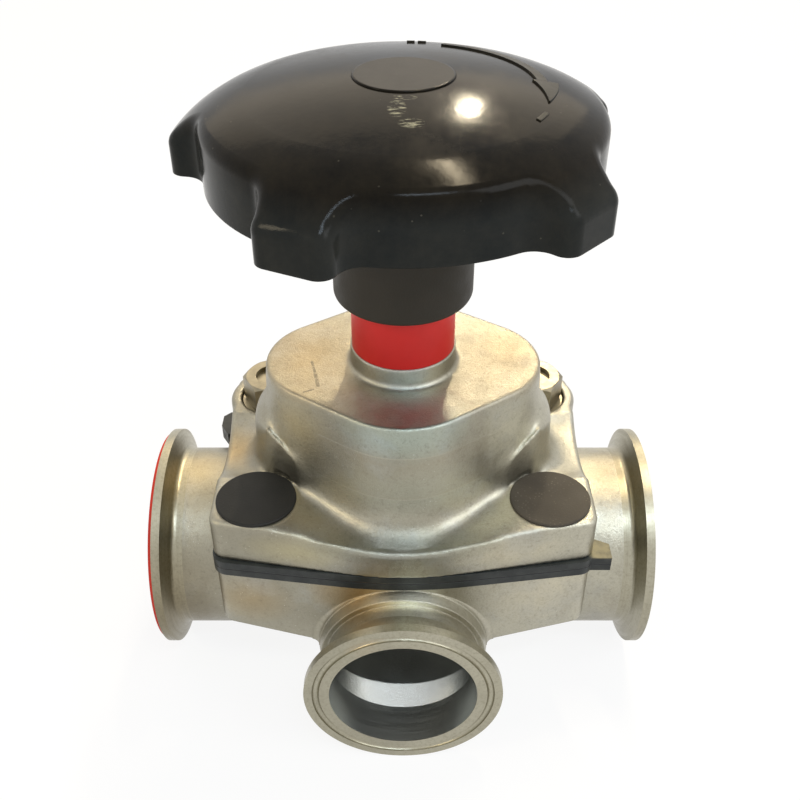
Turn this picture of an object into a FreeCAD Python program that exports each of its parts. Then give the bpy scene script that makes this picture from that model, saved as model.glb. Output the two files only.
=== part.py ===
import FreeCAD, Part
import math
import os
import Sketcher
from FreeCAD import Placement, Rotation, Vector

# Hygienic diaphragm valve: a straight run with a branch outlet, closed by a rising handwheel.
# Millimetres, +Z up along the spindle, +X along the run, -Y towards the outlet.
# The origin is where the spindle's axis meets the bench on which the three ferrules rest.

# Driving dimensions, one sheet cell each
DIMENSIONS = {
    # Clamp ferrules of the run
    "run_flange_diameter": 77.5,
    "run_tube_diameter": 63.5,
    "run_bore_diameter": 60.2,
    "run_groove_diameter": 70.5,
    "run_reach": 84,
    "run_weld_reach": 75,
    # Clamp ferrule of the outlet
    "outlet_flange_diameter": 64,
    "outlet_tube_diameter": 50.8,
    "outlet_bore_diameter": 47.6,
    "outlet_groove_diameter": 56.4,
    "outlet_reach": 67.6,
    "outlet_weld_reach": 56,
    # Form shared by the three ferrules
    "flange_rim": 2.85,
    "flange_taper": 20,
    "groove_radius": 1.15,
    "flange_back_fillet": 2.2,
    # Seal ring in the left ferrule
    "seal_plate": 1.2,
    "seal_lip": 2.2,
    # Slab, passages and weir of the body casting
    "joint_above_run": 22.2,
    "slab_half_length": 61,
    "slab_half_width": 47.8,
    "slab_bow": 140,
    "slab_bow_angle": 8,
    "slab_corner": 4.5,
    "slab_corner_depth": 23,
    "slab_middle_depth": 27.85,
    "slab_edge_round": 2.5,
    "neck_diameter": 54.6,
    "neck_reach": 51.5,
    "neck_draft": 0.9,
    "neck_draft_length": 5,
    "neck_fillet": 2.4,
    "slab_wall_curve": 2.6,
    "outlet_ramp_start": 54.1,
    "outlet_ramp_end": 48.6,
    "outlet_passage_height": 36.7,
    "outlet_passage_depth": 36,
    "run_passage_width": 35,
    "run_passage_height": 38,
    "run_passage_back": 8.5,
    "run_passage_drop": 6.5,
    "run_passage_reach": 57,
    "passage_wall": 3.5,
    "throat_half_length": 22,
    "throat_depth": 30,
    "rear_throat_back": 22,
    "front_throat_front": 24,
    "weir_back": 3.8,
    "weir_dish": 10.2,
    "window_half_length": 30,
    "window_half_width": 26,
    "barrel_gap": 0.9,
    # Fasteners
    "bolt_half_spacing_x": 47.3,
    "bolt_half_spacing_y": 28.8,
    "bolt_radius": 6,
    "bolt_hole_radius": 6.6,
    "tapped_depth": 13,
    "thread_clearance": 0.05,
    "rear_washer_radius": 11.6,
    "front_washer_radius": 10.2,
    "washer_thickness": 2.5,
    "nut_across_flats": 19,
    "nut_height": 10,
    "stud_below_nut": 1.6,
    "screw_head_radius": 9,
    "screw_head_height": 7,
    "screw_head_chamfer": 1,
    "screw_socket_flats": 8,
    "screw_socket_depth": 3.5,
    "rear_recess_depth": 4,
    "rear_recess_radius": 12.1,
    "rear_boss_radius": 15.8,
    "front_recess_depth": 10.9,
    "front_recess_radius": 10.6,
    "cap_radius": 12.95,
    "cap_clearance": 0.35,
    "cap_thickness": 1.6,
    "cap_plug_depth": 2.4,
    "cap_plug_wall": 1.4,
    "cap_proud": 0.9,
    "cap_seat_height": 2.5,
    # Diaphragm
    "diaphragm_thickness": 5.6,
    "diaphragm_margin": 0.8,
    "right_tab_reach": 67.4,
    "right_tab_front": 39.8,
    "right_tab_back": 31,
    "left_tab_reach": 68.4,
    "left_tab_front": 24.2,
    "left_tab_back": 37.5,
    "left_tab_run": 5,
    "left_tab_rise": 3,
    "tab_chamfer": 2.5,
    "web_thickness": 5,
    "web_rise": 3.8,
    "web_gap": 0.3,
    "web_stud_radius": 4,
    "web_stud_length": 15,
    "web_stud_sunk": 2.7,
    # Bonnet
    "flange_half_length": 61.6,
    "flange_half_width": 48.8,
    "flange_bow": 105,
    "flange_bow_angle": 10,
    "flange_corner": 5,
    "bonnet_flange_height": 15.4,
    "valley_depth": 5.2,
    "shoulder_rise": 3.6,
    "shoulder_spread": 10,
    "shoulder_tip_spread": 4,
    "shoulder_lift": 2.2,
    "shoulder_fillet": 4.5,
    "dome_sink": 0.3,
    "valley_half_length": 34,
    "valley_half_width": 18,
    "flange_fillet": 1.7,
    "dome_base_length": 47.3,
    "dome_base_depth": 39.6,
    "dome_base_front_radius": 28.5,
    "dome_base_tip_radius": 25,
    "dome_top_length": 44.3,
    "dome_top_depth": 37.6,
    "dome_top_front_radius": 26.3,
    "dome_top_tip_radius": 23.8,
    "dome_top_height": 50.7,
    "wing_length": 50.1,
    "wing_tip_radius": 21.3,
    "wing_proud": 0.15,
    "wing_flat": 0.25,
    "wing_below_top": 15.9,
    "wing_corner": 4,
    "wing_start": 24,
    "wing_slope_radius": 60,
    "dome_edge_fillet": 0.9,
    "neck_radius": 16.9,
    "neck_height": 6.8,
    "neck_base_fillet": 1.8,
    "spigot_radius": 14.2,
    "cavity_half_length": 36,
    "cavity_half_width": 29.5,
    "bonnet_roof": 7.25,
    # Bush, sleeve and seal
    "bush_radius": 11.5,
    "bush_flange_radius": 15.5,
    "bush_flange_height": 2,
    "seal_section_radius": 1,
    "seal_above_roof": 6,
    "sleeve_radius": 16.4,
    "sleeve_clearance": 0.05,
    "sleeve_length": 25.2,
    # Compressor
    "compressor_gap": 0.3,
    "rib_half_length": 26,
    "rib_half_width": 9,
    "finger_half_length": 21,
    "finger_half_width": 7,
    "finger_under_radius": 40,
    "guide_clearance": 0.5,
    "guide_height_above_foot": 17.5,
    "guide_thickness": 6,
    "hub_radius": 13,
    "hub_bore_depth": 25.75,
    "running_clearance": 0.05,
    "pin_radius": 2,
    "pin_gap": 0.3,
    "groove_bottom_radius": 5.5,
    "pin_below_hub": 10.75,
    "thrust_thickness": 1.5,
    # Spindle
    "spindle_radius": 8,
    "square_flats": 12,
    "square_length": 14,
    "spindle_end_radius": 6,
    "spindle_end_relief": 0.2,
    "spindle_end_chamfer": 1,
    "spindle_end_length": 11.5,
    # Handwheel and collar
    "open_gap": 18.05,
    "collar_radius": 21.5,
    "collar_bore_radius": 17.1,
    "collar_length": 34.9,
    "collar_roof": 10.75,
    "collar_edge_fillet": 2.5,
    "wheel_hub_radius": 19,
    "insert_radius": 14,
    "insert_clearance": 0.05,
    "hub_washer_radius": 10.5,
    "hub_washer_thickness": 2,
    "hub_nut_height": 8,
    "nut_pocket_radius": 12.6,
    "medallion_radius": 14,
    "medallion_thickness": 2.4,
    "rim_above_collar": 39.35,
    "lobe_reach": 65.6,
    "lobe_rise": 9.3,
    "lobe_end_margin": 2,
    "lobe_wall_height": 10.28,
    "lobe_half_width": 11,
    "lobe_count": 5,
    "lobe_corner": 4.5,
    "lobe_root": 7,
    "crown_radius": 200,
    "fall_width": 12.3,
    "fall_radius": 40,
    "wheel_edge_fillet": 4.5,
    "wheel_wall": 4,
    "wheel_rib_half_width": 1.5,
    "lobe_phase": 28.8,
}

doc = FreeCAD.newDocument("shut_off_valve")
sheet = doc.addObject("Spreadsheet::Sheet", "Sizes")
for row, (alias, number) in enumerate(DIMENSIONS.items(), start=1):
    sheet.set(f"A{row}", alias.replace("_", " "))
    sheet.set(f"B{row}", str(number))
    sheet.setAlias(f"B{row}", alias)
doc.recompute()


class Size:
    """A number of the model, with the sheet formula that keeps it up to date."""

    def __init__(self, value, formula):
        self.value = float(value)
        self.formula = formula

    def __add__(self, other):
        other = as_size(other)
        return Size(self.value + other.value, f"({self.formula} + {other.formula})")

    def __radd__(self, other):
        return as_size(other) + self

    def __sub__(self, other):
        other = as_size(other)
        return Size(self.value - other.value, f"({self.formula} - {other.formula})")

    def __rsub__(self, other):
        return as_size(other) - self

    def __mul__(self, other):
        other = as_size(other)
        return Size(self.value * other.value, f"({self.formula} * {other.formula})")

    def __rmul__(self, other):
        return as_size(other) * self

    def __truediv__(self, other):
        other = as_size(other)
        return Size(self.value / other.value, f"({self.formula} / {other.formula})")

    def __neg__(self):
        return Size(-self.value, f"(0 - {self.formula})")


def as_size(number):
    """The number itself as a size, unless it is one."""
    if isinstance(number, Size):
        return number
    return Size(number, f"({number})" if number < 0 else f"{number}")


def root(square):
    return Size(math.sqrt(square.value), f"sqrt({square.formula})")


def degrees(number):
    return Size(number.value, f"({number.formula} * 1 deg)")


def arctangent(ratio):
    return Size(math.degrees(math.atan(ratio.value)), f"atan({ratio.formula})")


def arcsine(ratio):
    return Size(math.degrees(math.asin(ratio.value)), f"asin({ratio.formula})")


def sine(angle):
    return Size(math.sin(math.radians(angle.value)), f"sin({angle.formula})")


def cosine(angle):
    return Size(math.cos(math.radians(angle.value)), f"cos({angle.formula})")


def tangent(angle):
    return Size(math.tan(math.radians(angle.value)), f"tan({angle.formula})")


class Sheet:
    """The sheet's dimensions by name."""

    def __init__(self, names):
        for name in names:
            setattr(self, name, Size(sheet.get(name), f"Sizes.{name}"))


D = Sheet(DIMENSIONS)
ZERO = as_size(0)
MARGIN = 5      # how far a cutting tool reaches past what it cuts
LONG = 200      # length of a tool that cuts right across the valve

# Directions of a primitive's own axis
UPWARD = Rotation()
ALONG_X = Rotation(Vector(0, 1, 0), 90)
ALONG_MINUS_X = Rotation(Vector(0, 1, 0), -90)
ALONG_MINUS_Y = Rotation(Vector(1, 0, 0), 90)
ALONG_Y = Rotation(Vector(1, 0, 0), -90)

# Planes of a sketch: its own x and y, then its normal
FLAT = Rotation()                                # X, Y, up
FRONT = Rotation(Vector(1, 0, 0), 90)            # X, Z, towards -Y
BACK = Rotation(Vector(0, 1, 1), 180)            # -X, Z, towards +Y
SIDE = Rotation(Vector(1, 1, 1), 120)            # Y, Z, towards +X


def bind(thing, name, size):
    """Tie one property of an object to its size."""
    thing.setExpression(name, as_size(size).formula)


def put(thing, base=(0, 0, 0), turn=UPWARD):
    """Turn an object and tie its place to the three sizes."""
    places = [as_size(size) for size in base]
    thing.Placement = Placement(Vector(*[place.value for place in places]), turn)
    for letter, place in zip("xyz", places):
        bind(thing, f"Placement.Base.{letter}", place)
    return thing


def cylinder(name, radius, length, base=(0, 0, 0), turn=UPWARD):
    thing = doc.addObject("Part::Cylinder", name)
    bind(thing, "Radius", radius)
    bind(thing, "Height", length)
    return put(thing, base, turn)


def box(name, low, high):
    """A block between two corners."""
    thing = doc.addObject("Part::Box", name)
    for side, bottom, top in zip(("Length", "Width", "Height"), low, high):
        bind(thing, side, as_size(top) - bottom)
    return put(thing, low)


def prism_of_flats(name, flats, height, base=(0, 0, 0), sides=6):
    """A bar of regular section, given by its size across flats."""
    thing = doc.addObject("Part::Prism", name)
    thing.Polygon = sides
    bind(thing, "Circumradius", flats / 2 / cosine(Size(180 / sides, f"({180 / sides} * 1 deg)")))
    bind(thing, "Height", height)
    return put(thing, base)


def ellipse(name, half_x, half_y, base=(0, 0, 0), turn=UPWARD):
    """An ellipse in its own plane; its first half axis is the longer one."""
    thing = doc.addObject("Part::Ellipse", name)
    bind(thing, "MajorRadius", half_x)
    bind(thing, "MinorRadius", half_y)
    return put(thing, base, turn)


def extruded(name, section, length, along=Vector(0, 0, 1)):
    thing = doc.addObject("Part::Extrusion", name)
    thing.Base = section
    thing.DirMode = "Custom"
    thing.Dir = along
    bind(thing, "LengthFwd", length)
    thing.Solid = True
    return thing


def lofted(name, sections):
    thing = doc.addObject("Part::Loft", name)
    thing.Sections = sections
    thing.Solid = True
    thing.Ruled = True
    return thing


def fused(name, things):
    thing = doc.addObject("Part::MultiFuse", name)
    thing.Shapes = things
    thing.Refine = True
    return thing


def shared(name, things):
    thing = doc.addObject("Part::MultiCommon", name)
    thing.Shapes = things
    return thing


def cut(name, base, tools):
    """The base less one tool, or less several tools fused first."""
    thing = doc.addObject("Part::Cut", name)
    thing.Base = base
    thing.Tool = tools[0] if len(tools) == 1 else fused(name + "_tools", tools)
    return thing


def rounded(name, base, radius, wanted):
    """Fillet those edges of the base for which wanted(edge) is true."""
    doc.recompute()
    thing = doc.addObject("Part::Fillet", name)
    thing.Base = base
    numbers = [i for i, edge in enumerate(base.Shape.Edges, start=1) if wanted(edge)]
    thing.Edges = [(number, radius.value, radius.value) for number in numbers]
    return thing


# Sketched outlines: corners joined by lines, or by an arc of a given radius that ends there

LEFT = 1        # the arc's centre is on the left of the way from corner to corner
RIGHT = -1


def arc_between(start, end, radius, side):
    """The short arc between two points, and whether it runs anticlockwise."""
    chord = end - start
    half = chord.Length / 2
    height = math.sqrt(max(radius * radius - half * half, 0))
    normal = Vector(-chord.y, chord.x, 0).normalize()
    centre = (start + end) * 0.5 + normal * (height * side)
    first, last = (start, end) if side == LEFT else (end, start)
    angles = [math.atan2(p.y - centre.y, p.x - centre.x) for p in (first, last)]
    circle = Part.Circle(centre, Vector(0, 0, 1), radius)
    return Part.ArcOfCircle(circle, angles[0], angles[1])


def draw(sketch, corners):
    """Draw a closed outline; a corner is (x, y) or (x, y, radius, side) with an arc before it."""
    places = [Vector(as_size(c[0]).value, as_size(c[1]).value, 0) for c in corners]
    ends = []
    for number, corner in enumerate(corners):
        start, end = places[number - 1], places[number]
        if len(corner) == 2:
            sketch.addGeometry(Part.LineSegment(start, end), False)
            ends.append((1, 2))
        else:
            sketch.addGeometry(arc_between(start, end, corner[2].value, corner[3]), False)
            ends.append((1, 2) if corner[3] == LEFT else (2, 1))
    for number, corner in enumerate(corners):
        following = (number + 1) % len(corners)
        meet = Sketcher.Constraint("Coincident", number, ends[number][1],
                                   following, ends[following][0])
        sketch.addConstraint(meet)
        for way, size in (("DistanceX", corner[0]), ("DistanceY", corner[1])):
            size = as_size(size)
            place = Sketcher.Constraint(way, -1, 1, number, ends[number][1], size.value)
            index = sketch.addConstraint(place)
            sketch.setExpression(f"Constraints[{index}]", size.formula)
        if len(corner) == 4:
            index = sketch.addConstraint(Sketcher.Constraint("Radius", number, corner[2].value))
            sketch.setExpression(f"Constraints[{index}]", corner[2].formula)


def outline(name, corners, plane=FLAT, base=(0, 0, 0)):
    """A sketch of its own, for the lofts and extrusions."""
    sketch = doc.addObject("Sketcher::SketchObject", name)
    draw(sketch, corners)
    return put(sketch, base, plane)


def origin_feature(body, role):
    return next(item for item in body.Origin.OriginFeatures if item.Role == role)


def body_sketch(body, name, role, corners, height=None):
    """A sketch on one of the body's own planes."""
    sketch = body.newObject("Sketcher::SketchObject", name)
    sketch.AttachmentSupport = (origin_feature(body, role), [""])
    sketch.MapMode = "FlatFace"
    draw(sketch, corners)
    if height is not None:
        bind(sketch, "AttachmentOffset.Base.z", height)
    return sketch


def turned(name, corners, base=(0, 0, 0), turn=UPWARD):
    """A body of revolution about its own Z; the corners are (radius, height)."""
    body = doc.addObject("PartDesign::Body", name)
    sketch = body_sketch(body, name + "_profile", "XZ_Plane", corners)
    revolution = body.newObject("PartDesign::Revolution", name + "_turned")
    revolution.Profile = sketch
    revolution.ReferenceAxis = (sketch, ["V_Axis"])
    revolution.Angle = 360
    return put(body, base, turn)


# Heights above the bench
run_axis = D.run_flange_diameter / 2
outlet_axis = D.outlet_flange_diameter / 2
joint = run_axis + D.joint_above_run
rim_top = joint + D.diaphragm_thickness
boss_top = rim_top + D.bonnet_flange_height
valley_bottom = boss_top - D.valley_depth
dome_top = rim_top + D.dome_top_height
neck_top = dome_top + D.neck_height
roof = dome_top - D.bonnet_roof
sleeve_top = neck_top + D.sleeve_length
bush_top = sleeve_top + D.bush_flange_height
weir_top = joint - D.weir_dish
web_bottom = joint + D.web_rise
foot = web_bottom + D.web_thickness + D.compressor_gap
hub_top = roof - D.guide_clearance
pin_height = hub_top - D.pin_below_hub
collar_bottom = neck_top + D.open_gap
collar_top = collar_bottom + D.collar_length
square_top = collar_top + D.square_length
wheel_bottom = collar_bottom + D.rim_above_collar
rim_radius = D.lobe_reach - D.lobe_rise
fall_start = rim_radius - D.fall_width
crown_level = root(D.crown_radius * D.crown_radius - fall_start * fall_start)
fall_share = (D.crown_radius - D.fall_radius) / D.crown_radius
fall_x = fall_start * fall_share
fall_drop = D.crown_radius - crown_level * fall_share


def crown_drop(radius):
    """How far the wheel's falling edge lies below its top, at a distance from the axis."""
    away = radius - fall_x
    return fall_drop - root(D.fall_radius * D.fall_radius - away * away)


wheel_top = wheel_bottom + D.lobe_wall_height + crown_drop(D.lobe_reach)

RIGHT_AND_LEFT = (1, -1)
FRONT_AND_REAR = (-1, 1)


def bolt_places(front_or_rear):
    """Axis of the two fasteners of the front or the rear pair."""
    depth = D.bolt_half_spacing_y * front_or_rear
    return [(D.bolt_half_spacing_x * side, depth) for side in RIGHT_AND_LEFT]


# Ferrules: a short tube and a flange with a tapered back and a seal groove in its face


def ferrule(name, flange, tube, bore, groove, weld, reach, base, turn):
    rim, wall, hole, ring = flange / 2, tube / 2, bore / 2, groove / 2
    back = reach - D.flange_rim
    slope = degrees(D.flange_taper)
    taper = (rim - wall) * tangent(slope)
    bend = D.flange_back_fillet * tangent((degrees(as_size(90)) - slope) / 2)
    return turned(name, [
        (hole, weld),
        (wall, weld),
        (wall, back - taper - bend),
        (wall + bend * cosine(slope), back - taper + bend * sine(slope),
         D.flange_back_fillet, RIGHT),
        (rim, back),
        (rim, reach),
        (ring + D.groove_radius, reach),
        (ring - D.groove_radius, reach, D.groove_radius, RIGHT),
        (hole, reach),
    ], base, turn)


def run_ferrule(name, turn):
    return ferrule(name, D.run_flange_diameter, D.run_tube_diameter, D.run_bore_diameter,
                   D.run_groove_diameter, D.run_weld_reach, D.run_reach, (0, 0, run_axis), turn)


left_ferrule = run_ferrule("left_ferrule", ALONG_MINUS_X)
right_ferrule = run_ferrule("right_ferrule", ALONG_X)
outlet_ferrule = ferrule("outlet_ferrule", D.outlet_flange_diameter, D.outlet_tube_diameter,
                         D.outlet_bore_diameter, D.outlet_groove_diameter,
                         D.outlet_weld_reach, D.outlet_reach, (0, 0, outlet_axis), ALONG_MINUS_Y)

# Seal ring: a flat ring on the left ferrule's face, with a bead in the face's groove
seal_rim = D.run_groove_diameter / 2 + D.seal_lip
seal_bead = D.run_groove_diameter / 2
left_clamp_seal = turned("left_clamp_seal", [
    (D.run_bore_diameter / 2, D.run_reach),
    (seal_bead - D.groove_radius, D.run_reach),
    (seal_bead + D.groove_radius, D.run_reach, D.groove_radius, LEFT),
    (seal_rim, D.run_reach),
    (seal_rim, D.run_reach + D.seal_plate),
    (D.run_bore_diameter / 2, D.run_reach + D.seal_plate),
], (0, 0, run_axis), ALONG_MINUS_X)

# Plan outlines


def plan_corners(length, width, bow, angle, corner):
    """Half length and half width of a block whose long sides bow out between flat flanks."""
    slope = degrees(angle)
    meet_x = bow * sine(slope)
    meet_y = width - bow * (1 - cosine(slope))
    corner_x = length - corner
    corner_y = meet_y - (corner_x - meet_x) * tangent(slope) - corner / cosine(slope)
    flank_x = corner_x + corner * sine(slope)
    flank_y = corner_y + corner * cosine(slope)
    return [
        (length, corner_y),
        (flank_x, flank_y, corner, LEFT),
        (meet_x, meet_y),
        (-meet_x, meet_y, bow, LEFT),
        (-flank_x, flank_y),
        (-length, corner_y, corner, LEFT),
        (-length, -corner_y),
        (-flank_x, -flank_y, corner, LEFT),
        (-meet_x, -meet_y),
        (meet_x, -meet_y, bow, LEFT),
        (flank_x, -flank_y),
        (length, -corner_y, corner, LEFT),
    ]


def lens_corners(length, depth, front, tip):
    """A rounded rhombus: two wide arcs in front and behind, two at the tips, four flats."""
    rise, run = depth - front, length - tip
    span = root(rise * rise + run * run)
    lean = arctangent(run / rise) + arcsine((tip - front) / span)
    front_x, front_y = front * cosine(lean), rise + front * sine(lean)
    tip_x, tip_y = run + tip * cosine(lean), tip * sine(lean)
    return [
        (tip_x, tip_y, tip, LEFT),
        (front_x, front_y),
        (-front_x, front_y, front, LEFT),
        (-tip_x, tip_y),
        (-tip_x, -tip_y, tip, LEFT),
        (-front_x, -front_y),
        (front_x, -front_y, front, LEFT),
        (tip_x, -tip_y),
    ]


# Body casting: slab, barrel and neck outside; run passage, weir, throats and outlet inside

slab_side = D.slab_half_length
slab_plan = outline("slab_plan", plan_corners(D.slab_half_length, D.slab_half_width, D.slab_bow,
                                              D.slab_bow_angle, D.slab_corner),
                    FLAT, (0, 0, joint - D.slab_middle_depth - MARGIN))
slab_block = extruded("slab_block", slab_plan, D.slab_middle_depth + MARGIN)
neck_root = D.neck_diameter / 2 + D.neck_draft
slab_low_x = neck_root
slab_front = outline("slab_front", [
    (slab_side, joint),
    (-slab_side, joint),
    (-slab_side, joint - D.slab_corner_depth + D.slab_edge_round),
    (D.slab_edge_round - slab_side, joint - D.slab_corner_depth, D.slab_edge_round, LEFT),
    (-slab_low_x, joint - D.slab_middle_depth),
    (slab_low_x, joint - D.slab_middle_depth),
    (slab_side - D.slab_edge_round, joint - D.slab_corner_depth),
    (slab_side, joint - D.slab_corner_depth + D.slab_edge_round, D.slab_edge_round, LEFT),
], FRONT, (0, LONG / 2, 0))
slab_keel = extruded("slab_keel", slab_front, LONG, Vector(0, -1, 0))
slab = shared("slab", [slab_block, slab_keel])
outlet_neck = turned("outlet_neck", [
    (ZERO, ZERO),
    (neck_root, ZERO),
    (neck_root, D.neck_reach - D.neck_draft_length),
    (D.neck_diameter / 2, D.neck_reach),
    (ZERO, D.neck_reach),
], (0, 0, outlet_axis), ALONG_MINUS_Y)
slab_and_neck = fused("slab_and_neck", [slab, outlet_neck])
# The neck flares into the slab's front wall, down to the slab's underside
flare_start = D.slab_half_width - D.slab_wall_curve
flare_ring = turned("flare_ring", [
    (neck_root - D.neck_fillet, flare_start - D.neck_fillet),
    (neck_root + D.neck_fillet, flare_start - D.neck_fillet),
    (neck_root + D.neck_fillet, flare_start),
    (neck_root, flare_start + D.neck_fillet, D.neck_fillet, RIGHT),
    (neck_root - D.neck_fillet, flare_start + D.neck_fillet),
], (0, 0, outlet_axis), ALONG_MINUS_Y)
neck_flare = shared("neck_flare", [flare_ring, slab_keel])
barrel = cylinder("barrel", D.run_tube_diameter / 2, 2 * D.run_weld_reach,
                  (-D.run_weld_reach, 0, run_axis), ALONG_X)
outlet_stub = cylinder("outlet_stub", D.outlet_tube_diameter / 2, D.outlet_weld_reach,
                       (0, 0, outlet_axis), ALONG_MINUS_Y)
casting_outside = fused("casting_outside", [slab_and_neck, neck_flare, barrel, outlet_stub])

bonnet_room_x = D.slab_half_length + D.diaphragm_margin + D.barrel_gap
bonnet_room = box("bonnet_room", (-bonnet_room_x, -LONG / 2, joint),
                  (bonnet_room_x, LONG / 2, joint + D.run_tube_diameter))
passage_height = run_axis - D.run_passage_drop
passage_centre = (0, D.run_passage_back, passage_height)


def passage_ellipse(name, place_x, wall=ZERO):
    return ellipse(name, D.run_passage_height / 2 + wall, D.run_passage_width / 2 + wall,
                   (place_x, D.run_passage_back, passage_height), ALONG_MINUS_X)


run_passage = extruded("run_passage", passage_ellipse("passage_end", -D.run_passage_reach),
                       2 * D.run_passage_reach, Vector(1, 0, 0))
passage_cones = []
for side, word in zip(RIGHT_AND_LEFT, ("right", "left")):
    mouth_radius = D.run_bore_diameter / 2
    mouth = ellipse(word + "_mouth", mouth_radius, mouth_radius,
                    (D.run_weld_reach * side, 0, run_axis), ALONG_MINUS_X)
    throat_end = passage_ellipse(word + "_throat_end", D.run_passage_reach * side)
    passage_cones.append(lofted(word + "_cone", [mouth, throat_end]))

window_plan = ellipse("window_plan", D.window_half_length, D.window_half_width, (0, 0, weir_top))
window_block = extruded("window_block", window_plan, D.weir_dish + MARGIN)
dish_radius = ((D.window_half_length * D.window_half_length + D.weir_dish * D.weir_dish)
               / (2 * D.weir_dish))
dish = cylinder("dish", dish_radius, LONG, (0, LONG / 2, weir_top + dish_radius), ALONG_MINUS_Y)
window = shared("window", [window_block, dish])
rear_throat = box("rear_throat",
                  (-D.throat_half_length, D.weir_back, joint - D.throat_depth),
                  (D.throat_half_length, D.rear_throat_back, joint))
front_throat = box("front_throat",
                   (-D.throat_half_length, -D.front_throat_front, joint - D.throat_depth),
                   (D.throat_half_length, 0, joint))
outlet_plan = ellipse("outlet_plan", D.outlet_bore_diameter / 2, D.outlet_passage_height / 2,
                      (0, -D.outlet_ramp_end, outlet_axis), ALONG_MINUS_Y)
outlet_passage = extruded("outlet_passage", outlet_plan, D.outlet_passage_depth, Vector(0, 1, 0))
outlet_side = fused("outlet_side", [front_throat, outlet_passage])
weir_wall = extruded("weir_wall",
                     passage_ellipse("weir_wall_end", -D.run_passage_reach, D.passage_wall),
                     2 * D.run_passage_reach, Vector(1, 0, 0))
outlet_chamber = cut("outlet_chamber", outlet_side, [weir_wall])
ramp_mouth = ellipse("ramp_mouth", D.outlet_bore_diameter / 2, D.outlet_bore_diameter / 2,
                     (0, -D.outlet_ramp_start, outlet_axis), ALONG_MINUS_Y)
ramp_end = ellipse("ramp_end", D.outlet_bore_diameter / 2, D.outlet_passage_height / 2,
                   (0, -D.outlet_ramp_end, outlet_axis), ALONG_MINUS_Y)
outlet_ramp = lofted("outlet_ramp", [ramp_mouth, ramp_end])
outlet_bore = cylinder("outlet_bore", D.outlet_bore_diameter / 2,
                       D.outlet_weld_reach - D.outlet_ramp_start,
                       (0, -D.outlet_ramp_start, outlet_axis), ALONG_MINUS_Y)


def bolt_cylinders(name, radius, low, high, pairs=FRONT_AND_REAR):
    """One cylinder at each bolt, between two heights."""
    return [cylinder(f"{name}_{number}", radius, high - low, (x, y, low))
            for number, (x, y) in enumerate(place for pair in pairs
                                            for place in bolt_places(pair))]


tapped_holes = bolt_cylinders("tapped_hole", D.bolt_radius + D.thread_clearance,
                              joint - D.tapped_depth, joint + MARGIN)
body_casting = cut("body_casting", casting_outside, [
    bonnet_room, run_passage, *passage_cones, window, rear_throat, outlet_chamber,
    outlet_ramp, outlet_bore, *tapped_holes])

# Diaphragm: clamped rim with two tabs, domed flexible middle, moulded-in stud

rim_plan = outline("rim_plan", plan_corners(
    D.slab_half_length + D.diaphragm_margin, D.slab_half_width + D.diaphragm_margin,
    D.slab_bow + D.diaphragm_margin, D.slab_bow_angle, D.slab_corner + D.diaphragm_margin),
    FLAT, (0, 0, joint))
rim_plate = extruded("rim_plate", rim_plan, D.diaphragm_thickness)


def tab(name, corners):
    """A tab on the clamped edge, to take hold of the diaphragm."""
    return extruded(name, outline(name + "_plan", corners, FLAT, (0, 0, joint)),
                    D.diaphragm_thickness)


right_tab = tab("right_tab", [
    (D.bolt_half_spacing_x, -D.right_tab_front),
    (D.right_tab_reach, -D.right_tab_front),
    (D.right_tab_reach, -D.right_tab_back - D.tab_chamfer),
    (D.right_tab_reach - 2 * D.tab_chamfer, -D.right_tab_back),
    (D.bolt_half_spacing_x, -D.right_tab_back),
])
left_tab = tab("left_tab", [
    (-D.bolt_half_spacing_x, D.left_tab_back),
    (D.tab_chamfer - D.left_tab_reach, D.left_tab_back),
    (-D.left_tab_reach, D.left_tab_back - D.tab_chamfer),
    (-D.left_tab_reach, D.left_tab_front + D.left_tab_run),
    (D.left_tab_rise - D.left_tab_reach, D.left_tab_front),
    (-D.bolt_half_spacing_x, D.left_tab_front),
])
web_room = extruded("web_room", ellipse("web_room_plan", D.window_half_length,
                                        D.window_half_width, (0, 0, joint)),
                    D.diaphragm_thickness)
diaphragm_rim = cut("diaphragm_rim", fused("rim_with_tabs", [rim_plate, right_tab, left_tab]), [
    web_room, *bolt_cylinders("rim_hole", D.bolt_hole_radius, joint, rim_top)])

web_half_length = D.window_half_length - D.web_gap
web_half_width = D.window_half_width - D.web_gap
inner_curve = ((web_half_length * web_half_length + D.web_rise * D.web_rise) / (2 * D.web_rise)
               + MARGIN)
curve_centre = web_bottom - inner_curve
web_ceiling = extruded("web_ceiling", ellipse("web_plan", web_half_length, web_half_width,
                                              (0, 0, joint)), D.web_rise + D.web_thickness)
outer_ball = doc.addObject("Part::Sphere", "outer_ball")
bind(outer_ball, "Radius", inner_curve + D.web_thickness)
put(outer_ball, (0, 0, curve_centre))
inner_ball = doc.addObject("Part::Sphere", "inner_ball")
bind(inner_ball, "Radius", inner_curve)
put(inner_ball, (0, 0, curve_centre))
stud_low = web_bottom + D.web_stud_sunk
stud_pocket = cylinder("stud_pocket", D.web_stud_radius, D.web_stud_length, (0, 0, stud_low))
diaphragm_web = cut("diaphragm_web", shared("web_cap", [web_ceiling, outer_ball]),
                    [inner_ball, stud_pocket])
diaphragm_stud = cylinder("diaphragm_stud", D.web_stud_radius, D.web_stud_length, (0, 0, stud_low))

# Bonnet: bossed flange, drafted dome, neck and spigot, hollow for the compressor

bonnet_plan = outline("bonnet_plan", plan_corners(
    D.flange_half_length, D.flange_half_width, D.flange_bow, D.flange_bow_angle,
    D.flange_corner), FLAT, (0, 0, rim_top))
bonnet_flange = extruded("bonnet_flange", bonnet_plan, D.bonnet_flange_height)


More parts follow.
